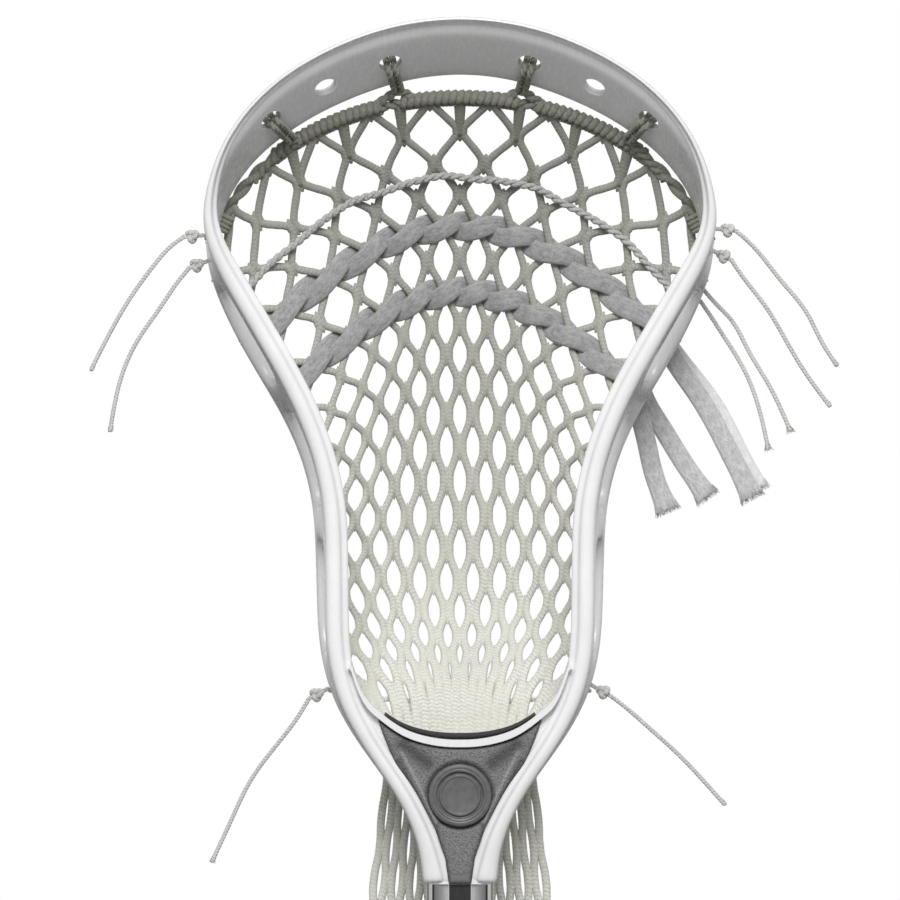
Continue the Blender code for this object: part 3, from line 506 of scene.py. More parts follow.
def spline(knots, at):
    """A natural cubic curve through (position, value) knots, read at one or many positions."""
    places = np.array([k[0] for k in knots], float)
    values = np.array([k[1:] for k in knots], float)
    spans = np.diff(places)
    count = len(places)
    system = np.eye(count)
    slopes = np.diff(values, axis=0) / spans[:, None]
    target = np.zeros_like(values)
    for i in range(1, count - 1):
        system[i, i - 1:i + 2] = spans[i - 1], 2 * (spans[i - 1] + spans[i]), spans[i]
        target[i] = 6 * (slopes[i] - slopes[i - 1])
    bend = np.linalg.solve(system, target)
    at = np.clip(np.atleast_1d(at).astype(float), places[0], places[-1])
    i = np.clip(np.searchsorted(places, at) - 1, 0, count - 2)
    span = spans[i][:, None]
    after = (at - places[i])[:, None]
    before = (places[i + 1] - at)[:, None]
    return (bend[i] * before ** 3 + bend[i + 1] * after ** 3) / (6 * span) \
        + (values[i] / span - bend[i] * span / 6) * before \
        + (values[i + 1] / span - bend[i + 1] * span / 6) * after


def along(table, height):
    """A straight-line reading of a (height, value) table."""
    return np.interp(height, [row[0] for row in table], [row[1] for row in table])


def at(table, height):
    return float(along(table, height))


def run_of(points):
    """The distance along a line up to each of its points."""
    return np.concatenate([[0], np.cumsum(np.linalg.norm(np.diff(points, axis=0), axis=1))])


def smooth_route(points, count):
    """Evenly spread points on a smooth curve through a route."""
    points = np.array(points, float)
    steps = run_of(points)
    fine = spline([(s, *p) for s, p in zip(steps, points)], np.linspace(0, steps[-1], 40 * len(points)))
    run = run_of(fine)
    wanted = np.linspace(0, run[-1], count)
    return np.column_stack([np.interp(wanted, run, fine[:, k]) for k in range(3)])


def respaced(points, step):
    """The same line with points a fixed step apart."""
    run = run_of(points)
    wanted = np.linspace(0, run[-1], max(3, int(round(run[-1] / step)) + 1))
    return np.column_stack([np.interp(wanted, run, points[:, k]) for k in range(3)])


def unit(vectors):
    """Vectors of length one."""
    return vectors / np.maximum(np.linalg.norm(vectors, axis=-1, keepdims=True), 1e-9)


def paired(columns, rows):
    """Columns and rows as two arrays of one length."""
    return np.broadcast_arrays(np.atleast_1d(columns).astype(float), np.atleast_1d(rows).astype(float))


def rim_station(height, side):
    """Point on the rim's outer edge at a height, and the outward direction there, both in the X-Z plane."""
    knots = [(0.0, *RIM_OUTLINE[0])]
    for last, point in zip(RIM_OUTLINE, RIM_OUTLINE[1:]):
        knots.append((knots[-1][0] + math.dist(last, point), *point))
    knots.append((2 * knots[-1][0] - knots[-2][0], -RIM_OUTLINE[-2][0], RIM_OUTLINE[-2][1]))
    runs = np.linspace(0, knots[-2][0], 1200)
    line = spline(knots, runs)
    nearest = int(np.argmin(np.abs(line[:, 1] - height)))
    if height >= SCOOP_TOP:
        nearest = len(runs) - 1
    ahead = spline(knots, runs[nearest] + 0.5)[0]
    behind = spline(knots, runs[nearest] - 0.5)[0]
    tangent = (ahead - behind) / np.linalg.norm(ahead - behind)
    point = line[nearest]
    return np.array((side * point[0], point[1])), np.array((side * tangent[1], -tangent[0]))


def rail_middle(height, side):
    """The middle of the back rail in the X-Z plane, and the outward direction there."""
    edge, outward = rim_station(height, side)
    return edge + outward * (at(FLARE, height) - at(RAIL_WIDTH, height) / 2), outward


def pocket(columns, rows):
    """Points on the net's middle surface. Columns run -5 to 5 across, rows from -1 at the top to 20."""
    columns, rows = paired(columns, rows)
    middle_z, drop, spacing, half, middle_y = spline(POCKET_ROWS, rows).T
    share = columns / HALF_COLUMNS
    bend = (half - HALF_COLUMNS * spacing) / HALF_COLUMNS ** 3
    edge_z = middle_z - drop
    edge_y = along(BACK_Y, edge_z) + RAIL_TO_NET
    points = np.column_stack([spacing * columns + bend * columns ** 3,
                              edge_y + (middle_y - edge_y) * (1 - share ** 2), middle_z - drop * share ** 2])
    past = rows - np.clip(rows, POCKET_ROWS[0][0], POCKET_ROWS[-1][0])
    if np.any(np.abs(past) > 1e-9):
        inside = np.where(past < 0, POCKET_ROWS[0][0] + 0.1, POCKET_ROWS[-1][0] - 0.1)
        edge = np.clip(rows, POCKET_ROWS[0][0], POCKET_ROWS[-1][0])
        slope = (pocket(columns, edge) - pocket(columns, inside)) / 0.1
        points += slope * np.abs(past)[:, None]
    return points


def tail_half(rows):
    """Half the width of the net's loose end, which widens below the throat."""
    return 26.0 + 8.0 * np.clip(1.6 * rows, 0.0, 1.0)


def tail(columns, rows):
    """Points on the loose end of the net, which hangs behind the throat. Rows run 0 to 1."""
    columns, rows = paired(columns, rows)
    return np.column_stack([tail_half(rows) * columns / HALF_COLUMNS,
                            TAIL_Y + 2.4 * rows + 1.5 * (columns / HALF_COLUMNS) ** 2,
                            TAIL_TOP - (TAIL_LENGTH + TAIL_TOP) * rows])


def facing(surface, columns, rows, step=0.05):
    """The surface's unit normals, pointing to the open face."""
    across = surface(columns + 0.05, rows) - surface(columns - 0.05, rows)
    down = surface(columns, np.clip(rows + step, -1, 20)) - surface(columns, np.clip(rows - step, -1, 20))
    normal = unit(np.cross(across, down))
    return np.where(normal[:, 1:2] > 0, -normal, normal)


# Meshes

def squared(values, power):
    """Cosines or sines bent towards a square outline, the more so the smaller the power."""
    return np.sign(values) * np.abs(values) ** power


def tube(route, toward, wide, thick, sides=8, closed=False, power=1.0):
    """A tube along a route as (points, faces, corner UVs), its flat side turned to face toward."""
    route = np.asarray(route, float)
    count = len(route)
    tangent = np.roll(route, -1, axis=0) - np.roll(route, 1, axis=0)
    if not closed:
        tangent[0], tangent[-1] = route[1] - route[0], route[-1] - route[-2]
    tangent = unit(tangent)
    side = unit(np.cross(tangent, np.broadcast_to(toward, route.shape)))
    lift = np.cross(side, tangent)
    turn = 2 * math.pi * np.arange(sides) / sides
    wide = np.broadcast_to(wide, (count,))[:, None, None]
    thick = np.broadcast_to(thick, (count,))[:, None, None]
    cos, sin = (squared(value, power)[None, :, None] for value in (np.cos(turn), np.sin(turn)))
    rings = route[:, None, :] + side[:, None, :] * cos * wide / 2 + lift[:, None, :] * sin * thick / 2
    points = rings.reshape(-1, 3)
    run = run_of(route)
    round_it = np.pi * (float(np.mean(wide)) + float(np.mean(thick))) / 4
    last = count if closed else count - 1
    i, j = np.meshgrid(np.arange(last), np.arange(sides), indexing="ij")
    i, j = i.ravel(), j.ravel()
    k, n = (j + 1) % sides, (i + 1) % count
    faces = np.column_stack([i * sides + j, n * sides + j, n * sides + k, i * sides + k]).tolist()
    full = np.append(run, run[-1] + run[1])
    u0, u1 = j / sides * round_it, (j + 1) / sides * round_it
    corners = np.stack([u0, full[i], u0, full[i + 1], u1, full[i + 1], u1, full[i]], axis=1).reshape(-1, 2)
    if not closed:
        faces.append(list(range(sides)))
        faces.append([(count - 1) * sides + s for s in reversed(range(sides))])
        corners = np.concatenate([corners, np.zeros((2 * sides, 2))])
    return points, faces, corners


def carried(route):
    """Directions across a route that turn as little as possible along it."""
    tangent = unit(np.gradient(np.asarray(route, float), axis=0))
    start = TO_FACE if abs(tangent[0][1]) < 0.9 else np.array((0.0, 0.0, 1.0))
    made = [unit(start - tangent[0] * np.dot(start, tangent[0]))]
    for t in tangent[1:]:
        made.append(unit(made[-1] - t * np.dot(made[-1], t)))
    return np.array(made)


def plait(route, diameter, pitch=3.4, flat=0.8):
    """A three-strand braid along a route, as a list of tubes."""
    route = respaced(np.asarray(route, float), pitch / 9)
    lift = carried(route)
    tangent = unit(np.gradient(route, axis=0))
    side = np.cross(tangent, lift)
    turn = 2 * math.pi * run_of(route) / pitch
    strand = 0.58 * diameter
    sway = (diameter - strand) / 2
    tubes = [tube(route, lift, 0.5 * diameter, 0.5 * diameter, 6)]
    for number in range(3):
        phase = turn + 2 * math.pi * number / 3
        aside, raised = sway * np.sin(phase), sway * flat * np.sin(2 * phase)
        line = route + side * aside[:, None] + lift * raised[:, None]
        tubes.append(tube(line, lift, strand, strand, 6))
    return tubes


def twist(route, diameter, plies=2, pitch=6.0, hand=1.0):
    """A twisted cord along a route, as a list of tubes."""
    route = respaced(np.asarray(route, float), pitch / 12)
    lift = carried(route)
    side = np.cross(unit(np.gradient(route, axis=0)), lift)
    turn = hand * 2 * math.pi * run_of(route) / pitch
    strand = diameter * (0.56 if plies == 2 else 0.5)
    sway = (diameter - strand) / 2
    tubes = []
    for number in range(plies):
        phase = turn + 2 * math.pi * number / plies
        line = route + side * (sway * np.cos(phase))[:, None] + lift * (sway * np.sin(phase))[:, None]
        tubes.append(tube(line, lift, strand, strand, 6))
    return tubes


def make_mesh(name, parts):
    """One mesh from several (points, faces, corner UVs), in metres above the butt."""
    points, faces, corners, base = [], [], [], 0
    for spots, polygons, uvs in parts:
        points.append(spots)
        faces += [[v + base for v in polygon] for polygon in polygons]
        corners.append(uvs)
        base += len(spots)
    points = np.concatenate(points)
    points = (points + np.array((0.0, 0.0, BALL_STOP_Z))) * MILLIMETRE
    mesh = bpy.data.meshes.new(name)
    mesh.from_pydata(points.tolist(), [], faces)
    layer = mesh.uv_layers.new(name="strand")
    layer.data.foreach_set("uv", np.concatenate(corners).ravel())
    mesh.shade_smooth()
    return mesh


def add_piece(node, mesh, look, body="stick"):
    """The finished piece that stands for a CAD node."""
    obj = bpy.data.objects.new(node + "_look", mesh)
    bpy.context.scene.collection.objects.link(obj)
    mesh.materials.clear()
    mesh.materials.append(look)
    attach(obj, body)
    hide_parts(node)
    return obj


def add_hard_piece(node, mesh, crease, look, body="stick"):
    """A smooth-shaded piece that keeps the edges sharper than crease, in degrees."""
    mesh.shade_smooth()
    mesh.set_sharp_from_angle(angle=math.radians(crease))
    return add_piece(node, mesh, look, body)


def add_string(name, parts, look):
    return add_piece(name, make_mesh(name, parts), look)


def without_uv(points, faces):
    """A shape that needs no strand coordinates, ready for make_mesh()."""
    return np.asarray(points, float), faces, np.zeros((sum(len(f) for f in faces), 2))


# Free ends of the strings and laces

def build_knot(centre, start):
    """An overhand knot pulled tight, with the string that goes through it from the rail to the free end."""
    turn = np.linspace(0, 2 * math.pi, 72, endpoint=False)
    line = np.column_stack([np.sin(turn) + 2 * np.sin(2 * turn), -0.9 * np.sin(3 * turn),
                            np.cos(turn) - 2 * np.cos(2 * turn)]) * 0.62
    line = line + np.array(centre)
    lift = unit(np.array(centre) - line + np.array((0.0, 1e-3, 0.0)))
    out = np.array(start) - np.array(centre)
    through = np.array([centre - 1.6 * out, centre - 0.6 * out, centre, start, start + 0.2 * out])
    return [tube(line, lift, 1.9, 1.9, 8, closed=True)] + plait(smooth_route(through, 16), STRING_D)


def tuft(end, direction, lift, wide, thick, count, length, spread):
    """Loose fibres fanning out of a cut end."""
    side = np.cross(direction, lift)
    fibres = []
    for _ in range(count):
        across, deep = rng.uniform(-0.5, 0.5), rng.uniform(-0.5, 0.5)
        start = end + side * across * wide + lift * deep * thick - direction * 1.5
        reach = length * rng.uniform(0.6, 1.0)
        lean = side * (across * spread + rng.normal(0, 0.06))
        lean += lift * (deep * spread * 0.5 + rng.normal(0, 0.06))
        steps = np.linspace(0, 1, 5)[:, None]
        line = start + direction * reach * steps + lean * reach * steps ** 1.6
        size = rng.uniform(0.16, 0.3)
        fibres.append(tube(line, lift, np.linspace(size, size * 0.5, 5), size, 4))
    return fibres


def build_string_tails(look):
    for name, points in STRING_TAILS.items():
        route = smooth_route(points, 60)
        direction = unit(route[-1] - route[-3])
        fibres = (26, 3.6, 0.6) if "cord_tail" in name else (10, 3.0, 0.25)
        frayed = tuft(route[-1] - direction * 1.2, direction, TO_FACE, 1.5, 1.2, *fibres)
        obj = add_string(name, plait(route, STRING_D) + frayed, look)
        knot = name.replace("_string_tail", "_knot")
        if knot in KNOTS:
            add_string(knot, build_knot(KNOTS[knot], route[0]), look)


def build_lace_tails(look, pale_look):
    for name, points in LACE_TAILS.items():
        route = smooth_route(points, 50)
        share = run_of(route) / run_of(route)[-1]
        wide = LACE_WIDTH * 0.9 * (1.0 + 0.28 * np.clip((share - 0.8) / 0.2, 0, 1) ** 2)
        thick = LACE_THICK * (1.0 - 0.35 * np.clip((share - 0.85) / 0.15, 0, 1))
        direction = unit(route[-1] - route[-4])
        frayed = tuft(route[-1] - direction, direction, TO_FACE, wide[-1] * 0.95, 1.4, 150, 4.0, 0.45)
        mesh = make_mesh(name, [tube(route, TO_FACE, wide, thick, 14, power=0.7)] + frayed)
        obj = add_piece(name, mesh, pale_look if name == "upper_lace_back_tail" else look)


# The net

def zigzag(rows, even, odd, hold, curl):
    """Where a strand lies across: at even on even rows and odd on odd ones, straight for a while at each."""
    phase = np.abs(rows % 2 - 1)
    slide = np.clip((phase - hold) / (1 - 2 * hold), 0, 1)
    slide = (1 - curl) * slide + curl * slide * slide * (3 - 2 * slide)
    return odd + (even - odd) * slide


def net_strand(surface, column, turn, rows, width, spacing, hold, curl, step=0.05, per=1):
    """One knitted strand that joins its neighbour on one side on even rows and on the other on odd ones."""
    offset = 0.42 * width / spacing
    lattice = rows * per
    columns = zigzag(lattice, column + turn * offset, column + turn * (0.5 - offset), hold, curl)
    centre = surface(columns, rows)
    toward = facing(surface, columns, rows, step)
    run = run_of(centre)
    knit = 1.0 + 0.03 * np.sin(2 * math.pi * run / STITCH_PITCH)
    return tube(centre, toward, width * knit, STRAND_THICK * knit, 8)


def net_joint(surface, column, row, reach, width, bulge, step=0.05):
    """The thicker place where two strands are knitted together."""
    rows = row + np.linspace(-reach, reach, 11)
    columns = np.full(11, float(column))
    centre = surface(columns, rows)
    shape = np.clip(np.cos(np.linspace(-1, 1, 11) * math.pi / 2), 0.1, 1)
    toward = facing(surface, columns, rows, step)
    return tube(centre, toward, width * bulge * shape, STRAND_THICK * 0.92 * shape, 8)


def strand_starts():
    """The column round which each strand zigzags, and the side on which it does."""
    return [(column, turn) for turn in (1, -1) for column in range(-5, 6) if abs(column + turn * 0.5) <= 5]


def joint_places(first, last):
    """The row and column of every joint, the odd rows half a column out of step."""
    return [(row, column) for row in range(first, last)
            for column in (np.arange(-4, 5) if row % 2 == 0 else np.arange(-4.5, 5))]


def build_pocket(look):
    """Twenty strands zigzag down the pocket and are knitted together where they meet."""
    rows = np.linspace(*NET_ROWS, 300)
    width, hold, curl = (along(table, rows) for table in (STRAND_WIDTH, JOINT_HOLD, LEG_CURL))
    parts = []
    for column, turn in strand_starts():
        right, left = pocket(column + 0.05, rows), pocket(column - 0.05, rows)
        spacing = np.linalg.norm(right - left, axis=1) / 0.1
        parts.append(net_strand(pocket, column, turn, rows, width, spacing, hold, curl))
    for row, column in joint_places(-1, 21):
        reach, wide, bulge = (at(table, row) for table in (JOINT_REACH, STRAND_WIDTH, JOINT_SPREAD))
        parts.append(net_joint(pocket, column, row, reach, wide, bulge))
    obj = add_piece("pocket_net", make_mesh("pocket_net", parts), look)


def build_net_tail(look):
    """The net's loose end, with the same strands hanging slack."""
    rows = np.linspace(-0.01, 0.995, 150)
    parts = [net_strand(tail, column, turn, rows, np.full(len(rows), 2.85), tail_half(rows) / HALF_COLUMNS,
                        0.14, 1.0, 0.02, TAIL_ROWS) for column, turn in strand_starts()]
    parts += [net_joint(tail, column, row / TAIL_ROWS, 0.04, 3.0, 1.3, 0.02)
              for row, column in joint_places(0, TAIL_ROWS)]
    obj = add_piece("net_tail", make_mesh("net_tail", parts), look)


# Strings and laces on the net

def lifted(columns, rows, lift):
    """Points on the net, raised from it towards the open face."""
    columns, rows = paired(columns, rows)
    return pocket(columns, rows) + facing(pocket, columns, rows) * np.reshape(lift, (-1, 1))


def build_shooting_strings(cord_look, lace_look):
    """The thin twisted cord, and two laces whose two halves cross over and under each other."""
    columns = np.linspace(-LACING_END, LACING_END, 120)
    lift = NET_HALF + 1.0 + 0.35 * np.sin(2 * math.pi * columns)
    route = lifted(columns, SHOOTING_CORD_ROW + 0.05 * np.sin(3.1 * columns), lift)
    add_string("shooting_cord", twist(route, 2.9, 2, 6.4), cord_look)
    columns = np.linspace(-LACING_END, LACING_END, 240)
    for name, row in (("upper_shooting_lace", UPPER_LACE_ROW), ("lower_shooting_lace", LOWER_LACE_ROW)):
        parts = []
        toward = facing(pocket, columns, np.full(len(columns), row))
        for strand in (1, -1):
            wave = strand * np.sin(math.pi * columns)
            route = lifted(columns, row + 0.17 * strand * np.cos(math.pi * columns), 2.6 * wave)
            parts.append(tube(route, toward, LACE_WIDTH * (0.92 + 0.05 * wave), LACE_THICK, 16, power=0.8))
        add_piece(name, make_mesh(name, parts), lace_look)


def edge_line(side, rows, out):
    """Points just outside the net's side edge."""
    edge = pocket(np.full(len(rows), side * 5.0), rows)
    inside = pocket(np.full(len(rows), side * 4.9), rows)
    return edge + unit(edge - inside) * out


def stitch(place, outward, tall, wide, turns, thick):
    """Turns of string side by side round a rail: place is the middle of the ring."""
    parts = []
    angle = np.linspace(0, 2 * math.pi, 28, endpoint=False)
    for number in range(turns):
        shift = (number - (turns - 1) / 2) * thick * 0.95
        flat = np.column_stack([squared(np.cos(angle), 0.75) * wide / 2,
                                squared(np.sin(angle), 0.75) * tall / 2])
        line = place + outward * flat[:, :1] - TO_FACE * flat[:, 1:] - np.cross(outward, TO_FACE) * shift
        parts.append(tube(line, unit(line - place + 1e-4), thick, thick, 8, closed=True))
    return parts


def build_sidewall_strings(look):
    """A braid along the net's edge, a turn of string round it, and stitches through the rail's holes."""
    for name, side in (("left_sidewall_string", -1), ("right_sidewall_string", 1)):
        rows = np.linspace(-0.7, 18.6, 260)
        parts = plait(edge_line(side, rows, 1.2), 2.4, 4.6)
        parts += twist(edge_line(side, rows, 0.4), 4.6, 1, 9.0)
        for height in SIDEWALL_HOLES:
            (x, z), outward = rail_middle(height, side)
            out = np.array((outward[0], 0.0, outward[1]))
            centre = np.array((x, at(BACK_Y, height) + 0.2, z))
            turns = 2 if height > 20 else 1
            parts += stitch(centre - out * 0.7, out, 8.4, at(RAIL_WIDTH, height) - 0.4, turns, 1.5)
        add_string(name, parts, look)


def top_edge(columns, up):
    """Points above the net's top edge."""
    edge = pocket(columns, -1.0)
    return edge + unit(edge - pocket(columns, -0.9)) * up


def build_top_string(look):
    """The top string: wrapped thickly between the loops, a twisted pair out to the side anchors."""
    parts = []
    for start, end in ((-3.35, -1.3), (-0.95, 0.95), (1.3, 3.35)):
        columns = np.linspace(start, end, 60)
        core = respaced(top_edge(columns, 1.6), 0.35)
        parts.append(tube(core, carried(core), 3.6, 3.4, 10))
        parts += twist(core, 5.6, 1, 2.5)
        parts += plait(respaced(top_edge(columns, -0.9), 0.6), 2.6, 4.0)
    for side in (-1, 1):
        parts += twist(top_edge(np.linspace(side * 3.3, side * LACING_END, 50), 0.9), 4.6, 2, 17.0, side)
        parts += twist(top_edge(np.linspace(side * 0.9, side * 1.35, 20), 1.2), 3.8, 2, 8.0, side)
        anchor = top_edge(np.array([side * 4.75, side * 4.85]), 1.2)
        across = -np.cross(unit(anchor[1] - anchor[0]), TO_FACE)
        parts += stitch(anchor[1] + 1.5 * TO_FACE, across, 6.0, 7.0, 4, 1.7)
    for column in range(-3, 4):
        line = np.linspace(top_edge(column, 0.4)[0], pocket(column, 0.1)[0], 12)
        parts.append(tube(line, TO_FACE, np.linspace(4.4, 2.8, 12), 2.2, 10))
    add_string("top_string", parts, look)


def build_bottom_string(look):
    """A braid behind the net, just above the ball stop."""
    columns = np.linspace(-4.9, 4.9, 200)
    route = lifted(columns, 19.0, -(NET_HALF + 0.9) + 0.5 * np.sin(2 * math.pi * columns))
    add_string("bottom_string", plait(route, 2.0), look)


def scoop_hole_place(x, share):
    """Centre of a scoop hole on the wall's outer face, the direction through the wall and the one down it."""
    heights = np.linspace(190.0, SCOOP_TOP, 120)
    outline = np.array([rim_station(z, 1)[0] for z in heights])
    height = float(np.interp(x + 4.0, outline[::-1, 0], heights[::-1]))
    edge, outward = rim_station(height, 1)
    front, back, flare = (at(table, height) for table in (FRONT_Y, BACK_Y, FLARE))
    wall = Vector((outward[0] * flare, back - front, outward[1] * flare)).normalized()
    along_rim = Vector((outward[1], 0.0, -outward[0]))
    through = wall.cross(along_rim).normalized()
    centre = Vector((edge[0], front, edge[1])) + wall * ((back - front) / wall.y * share)
    return centre, through, wall


def build_top_loops(look):
    """Turns of string through each strung hole, round the scoop's back edge and down to the top string."""
    room = 1.9
    near, far = -room, 3.2 + room
    for name, (side, number, column) in TOP_LOOPS.items():
        centre, through, wall = scoop_hole_place(*SCOOP_HOLES[number])
        inward = through if through.x < 0 else -through
        reach = (at(BACK_Y, centre.z) - centre.y) / wall.y + room
        corners = [(0.0, near), (0.0, far), (0.5 * reach, far), (reach, far - 0.8), (reach, near + 0.8),
                   (0.5 * reach, near)]
        across = wall.cross(inward).normalized()
        flip = np.array((side, 1, 1), float)
        parts = []
        for shift in (-1.2, 1.2):
            ring = [centre + wall * (a + (2.2 if a < 1 else 0.0)) + inward * b + across * shift
                    for a, b in corners]
            line = smooth_route([np.array(p) * flip for p in ring + ring[:1]], 60)
            parts += twist(line, 2.5, 2, 5.0, side)
        start = np.array(centre + wall * reach + inward * (far - 0.6)) * flip
        for lean in (-0.5, 0.5):
            goal = pocket(side * (column + lean), -0.95)[0]
            middle = (start + goal) / 2 + np.array((0.0, -0.6, 0.6))
            line = smooth_route([start - np.array((0, 0.5, 0)), middle, goal], 40)
            parts += twist(line, 3.6, 2, 7.0)
        add_string(name, parts, look)


# The head frame

def wall_section(height):
    """The wall's cross section: (distance outward from the rim's outer edge, y), front rim to back rail."""
    rim, flare, wall = (at(table, height) for table in (RIM_WIDTH, FLARE, WALL))
    rail, front, back = (at(table, height) for table in (RAIL_WIDTH, FRONT_Y, BACK_Y))
    middle = 0.45 * front + 0.55 * back

    def outer(y, share):
        """The wall's outer face at a depth, with a share of its flare there."""
        return max(flare, 0.0) * share + min(flare, 0.0) * (y - front) / (back - front)

    under = min(-rim + 0.4, outer(front + 5.0, 0.1) - wall)
    root = max(outer(front + 8.6, 0.25) - wall, -rim + 0.2) if flare > 0 else outer(front + 8.6, 0.25) - wall
    ledge = min(2.4, 0.3 * rim)
    front_rim = [(-rim, front + 3.4), (-rim + 0.25 * ledge, front + 2.5), (-rim + ledge, front + 2.1),
                 (-rim + ledge + 0.45, front + 0.9), (-0.5 * rim, front), (-0.18 * rim, front + 0.2),
                 (0.0, front + 1.8), (-0.35, front + 3.3)]
    outside = [(outer(front + 8.0, 0.22), front + 8.0), (outer(middle, 0.6), middle),
               (outer(back - 8.0, 1.0), back - 8.0)]
    back_rail = [(outer(back - 1.6, 1.0) - 0.1, back - 1.6), (outer(back - 0.3, 1.0) - 1.0, back - 0.1),
                 (outer(back, 1.0) - rail + 1.0, back), (outer(back - 1.6, 1.0) - rail + 0.1, back - 1.6),
                 (outer(back - 6.0, 1.0) - rail, back - 6.0)]
    inside = [(outer(middle, 0.6) - wall, middle), (root, front + 8.6), (under, front + 5.4)]
    return front_rim + outside + back_rail + inside


# Corners of the section on the web's two faces, where the windows go through
OUTER_WEB = (8, 9, 10)
INNER_WEB = (17, 16, 15)


def head_wall():
    """The U-shaped wall as a loft of sections, with windows through its web."""
    heights = sorted(set(PLAIN_STATIONS + [z for window in WINDOWS for z in window]))
    stations = [(z, 1) for z in heights] + [(z, -1) for z in reversed(heights[:-1])]
    size = len(wall_section(0.0))
    points = []
    for height, side in stations:
        edge, outward = rim_station(height, side)
        for reach, y in wall_section(height):
            place = edge + outward * reach
            points.append((place[0], y, place[1]))
    faces = []
    for i in range(len(stations) - 1):
        low, high = sorted((stations[i][0], stations[i + 1][0]))
        opened = [w for w in WINDOWS if w[0] <= low and high <= w[2]]
        for j in range(size):
            k = (j + 1) % size
            if opened and (j in OUTER_WEB[:2] or j in INNER_WEB[1:]):
                continue
            faces.append((i * size + j, i * size + k, (i + 1) * size + k, (i + 1) * size + j))
        if opened:
            for a, b in ((OUTER_WEB[0], INNER_WEB[0]), (OUTER_WEB[2], INNER_WEB[2])):
                faces.append((i * size + a, i * size + b, (i + 1) * size + b, (i + 1) * size + a))
            for end in (i, i + 1):
                if stations[end][0] in (opened[0][0], opened[0][2]):
                    for m in (0, 1):
                        faces.append((end * size + OUTER_WEB[m], end * size + OUTER_WEB[m + 1],
                                      end * size + INNER_WEB[m + 1], end * size + INNER_WEB[m]))
    faces.append(tuple(range(size)))
    faces.append(tuple((len(stations) - 1) * size + j for j in range(size)))
    return points, faces


def solid(name, points, faces):
    """A closed object with its faces turned outward."""
    mesh = bpy.data.meshes.new(name)
    mesh.from_pydata([to_world(p) for p in points], [], faces)
    outward = bmesh.new()
    outward.from_mesh(mesh)
    bmesh.ops.recalc_face_normals(outward, faces=outward.faces)
    outward.to_mesh(mesh)
    outward.free()
    obj = bpy.data.objects.new(name, mesh)
    bpy.context.scene.collection.objects.link(obj)
    return obj


def band_faces(count):
    """Two end faces and the band between two rings of points."""
    faces = [tuple(range(count)), tuple(range(count, 2 * count))]
    return faces + [(i, (i + 1) % count, count + (i + 1) % count, count + i) for i in range(count)]


def bar_parts(outline, low, high, upright=False):
    """A bar with an outline in the X-Z plane, along Y, or one in the X-Y plane, standing upright."""
    points = [(a, b, level) if upright else (a, level, b) for level in (low, high) for a, b in outline]
    return points, band_faces(len(outline))


def joined(shapes):
    """Several (points, faces) as one."""
    points, faces = [], []
    for more, more_faces in shapes:
        faces += [tuple(len(points) + v for v in face) for face in more_faces]
        points += [Vector(p) for p in more]
    return points, faces


def mirrored(half):
    """A full outline from its right half, listed from the middle of the top to the middle of the bottom."""
    return half + [(-x, z) for x, z in reversed(half) if x > 0]


def stop_arc(drop, width, count):
    """The ball stop's curve: (x, height) from the middle outward, lowered by drop."""
    knots = [(-STOP_CURVE[1][0], STOP_CURVE[1][1])] + STOP_CURVE
    return [(x, float(spline(knots, x)[0][0]) - drop) for x in np.linspace(0.0, width, count + 1)]


def octagon(grow):
    """The shaft's outline, as (x, y), grown outward."""
    quarter = [(x + grow * x / SHAFT_HALF_X, y + grow * y / SHAFT_HALF_Y) for x, y in SHAFT_SECTION]
    right = quarter + [(x, -y) for x, y in reversed(quarter)]
    return right + [(-x, -y) for x, y in right]


def rod_parts(start, end, across, tall, up, sides):
    """A round or oval bar between two points, its tall side along up."""
    start, end, up = Vector(start), Vector(end), Vector(up)
    axis = (end - start).normalized()
    side = axis.cross(up).normalized()
    lift = side.cross(axis).normalized()
    points = []
    for centre in (start, end):
        for i in range(sides):
            turn = 2 * math.pi * (i + 0.37) / sides
            points.append(centre + side * math.cos(turn) * across / 2 + lift * math.sin(turn) * tall / 2)
    return points, band_faces(sides)


def screw_rod(start, end):
    return rod_parts((0, start, SCREW_Z), (0, end, SCREW_Z), SCREW_HOLE_D, SCREW_HOLE_D, (0, 0, 1), 24)


def hole_cutter():
    """Every string hole, the shaft's socket and the screw's hole, as one object."""
    shapes = [bar_parts(octagon(GAP), THROAT_BOTTOM - CUT_OVER, SOCKET_TOP + GAP, True), screw_rod(13.2, 25)]
    for side in (1, -1):
        flip = Vector((side, 1, 1))
        for x, share in SCOOP_HOLES:
            centre, through, wall = scoop_hole_place(x, share)
            shapes.append(rod_parts((centre - through * 8.7) * flip, (centre + through * 8.9) * flip,
                                    *SCOOP_HOLE_SIZE, wall * flip, 36))
        for height in SIDEWALL_HOLES:
            middle, outward = rail_middle(height, side)
            y = at(BACK_Y, height) - 3.4
            ends = [(x, y, z) for x, z in (middle - outward * 9, middle + outward * 9)]
            shapes.append(rod_parts(*ends, SIDEWALL_HOLE_D, SIDEWALL_HOLE_D, (0, 1, 0), 16))
    return solid("hole_cutter", *joined(shapes))


def applied(obj, helpers):
    """Replaces an object's mesh with its evaluated one and removes the helpers."""
    graph = bpy.context.evaluated_depsgraph_get()
    mesh = bpy.data.meshes.new_from_object(obj.evaluated_get(graph))
    name = obj.name
    for old in [obj] + helpers:
        bpy.data.objects.remove(old, do_unlink=True)
    mesh.name = name
    return mesh


def combine(obj, other, operation):
    """Joins or cuts one solid with another."""
    step = obj.modifiers.new(operation.lower() + "_" + other.name, "BOOLEAN")
    step.operation = operation
    step.solver = "EXACT"
    step.object = other


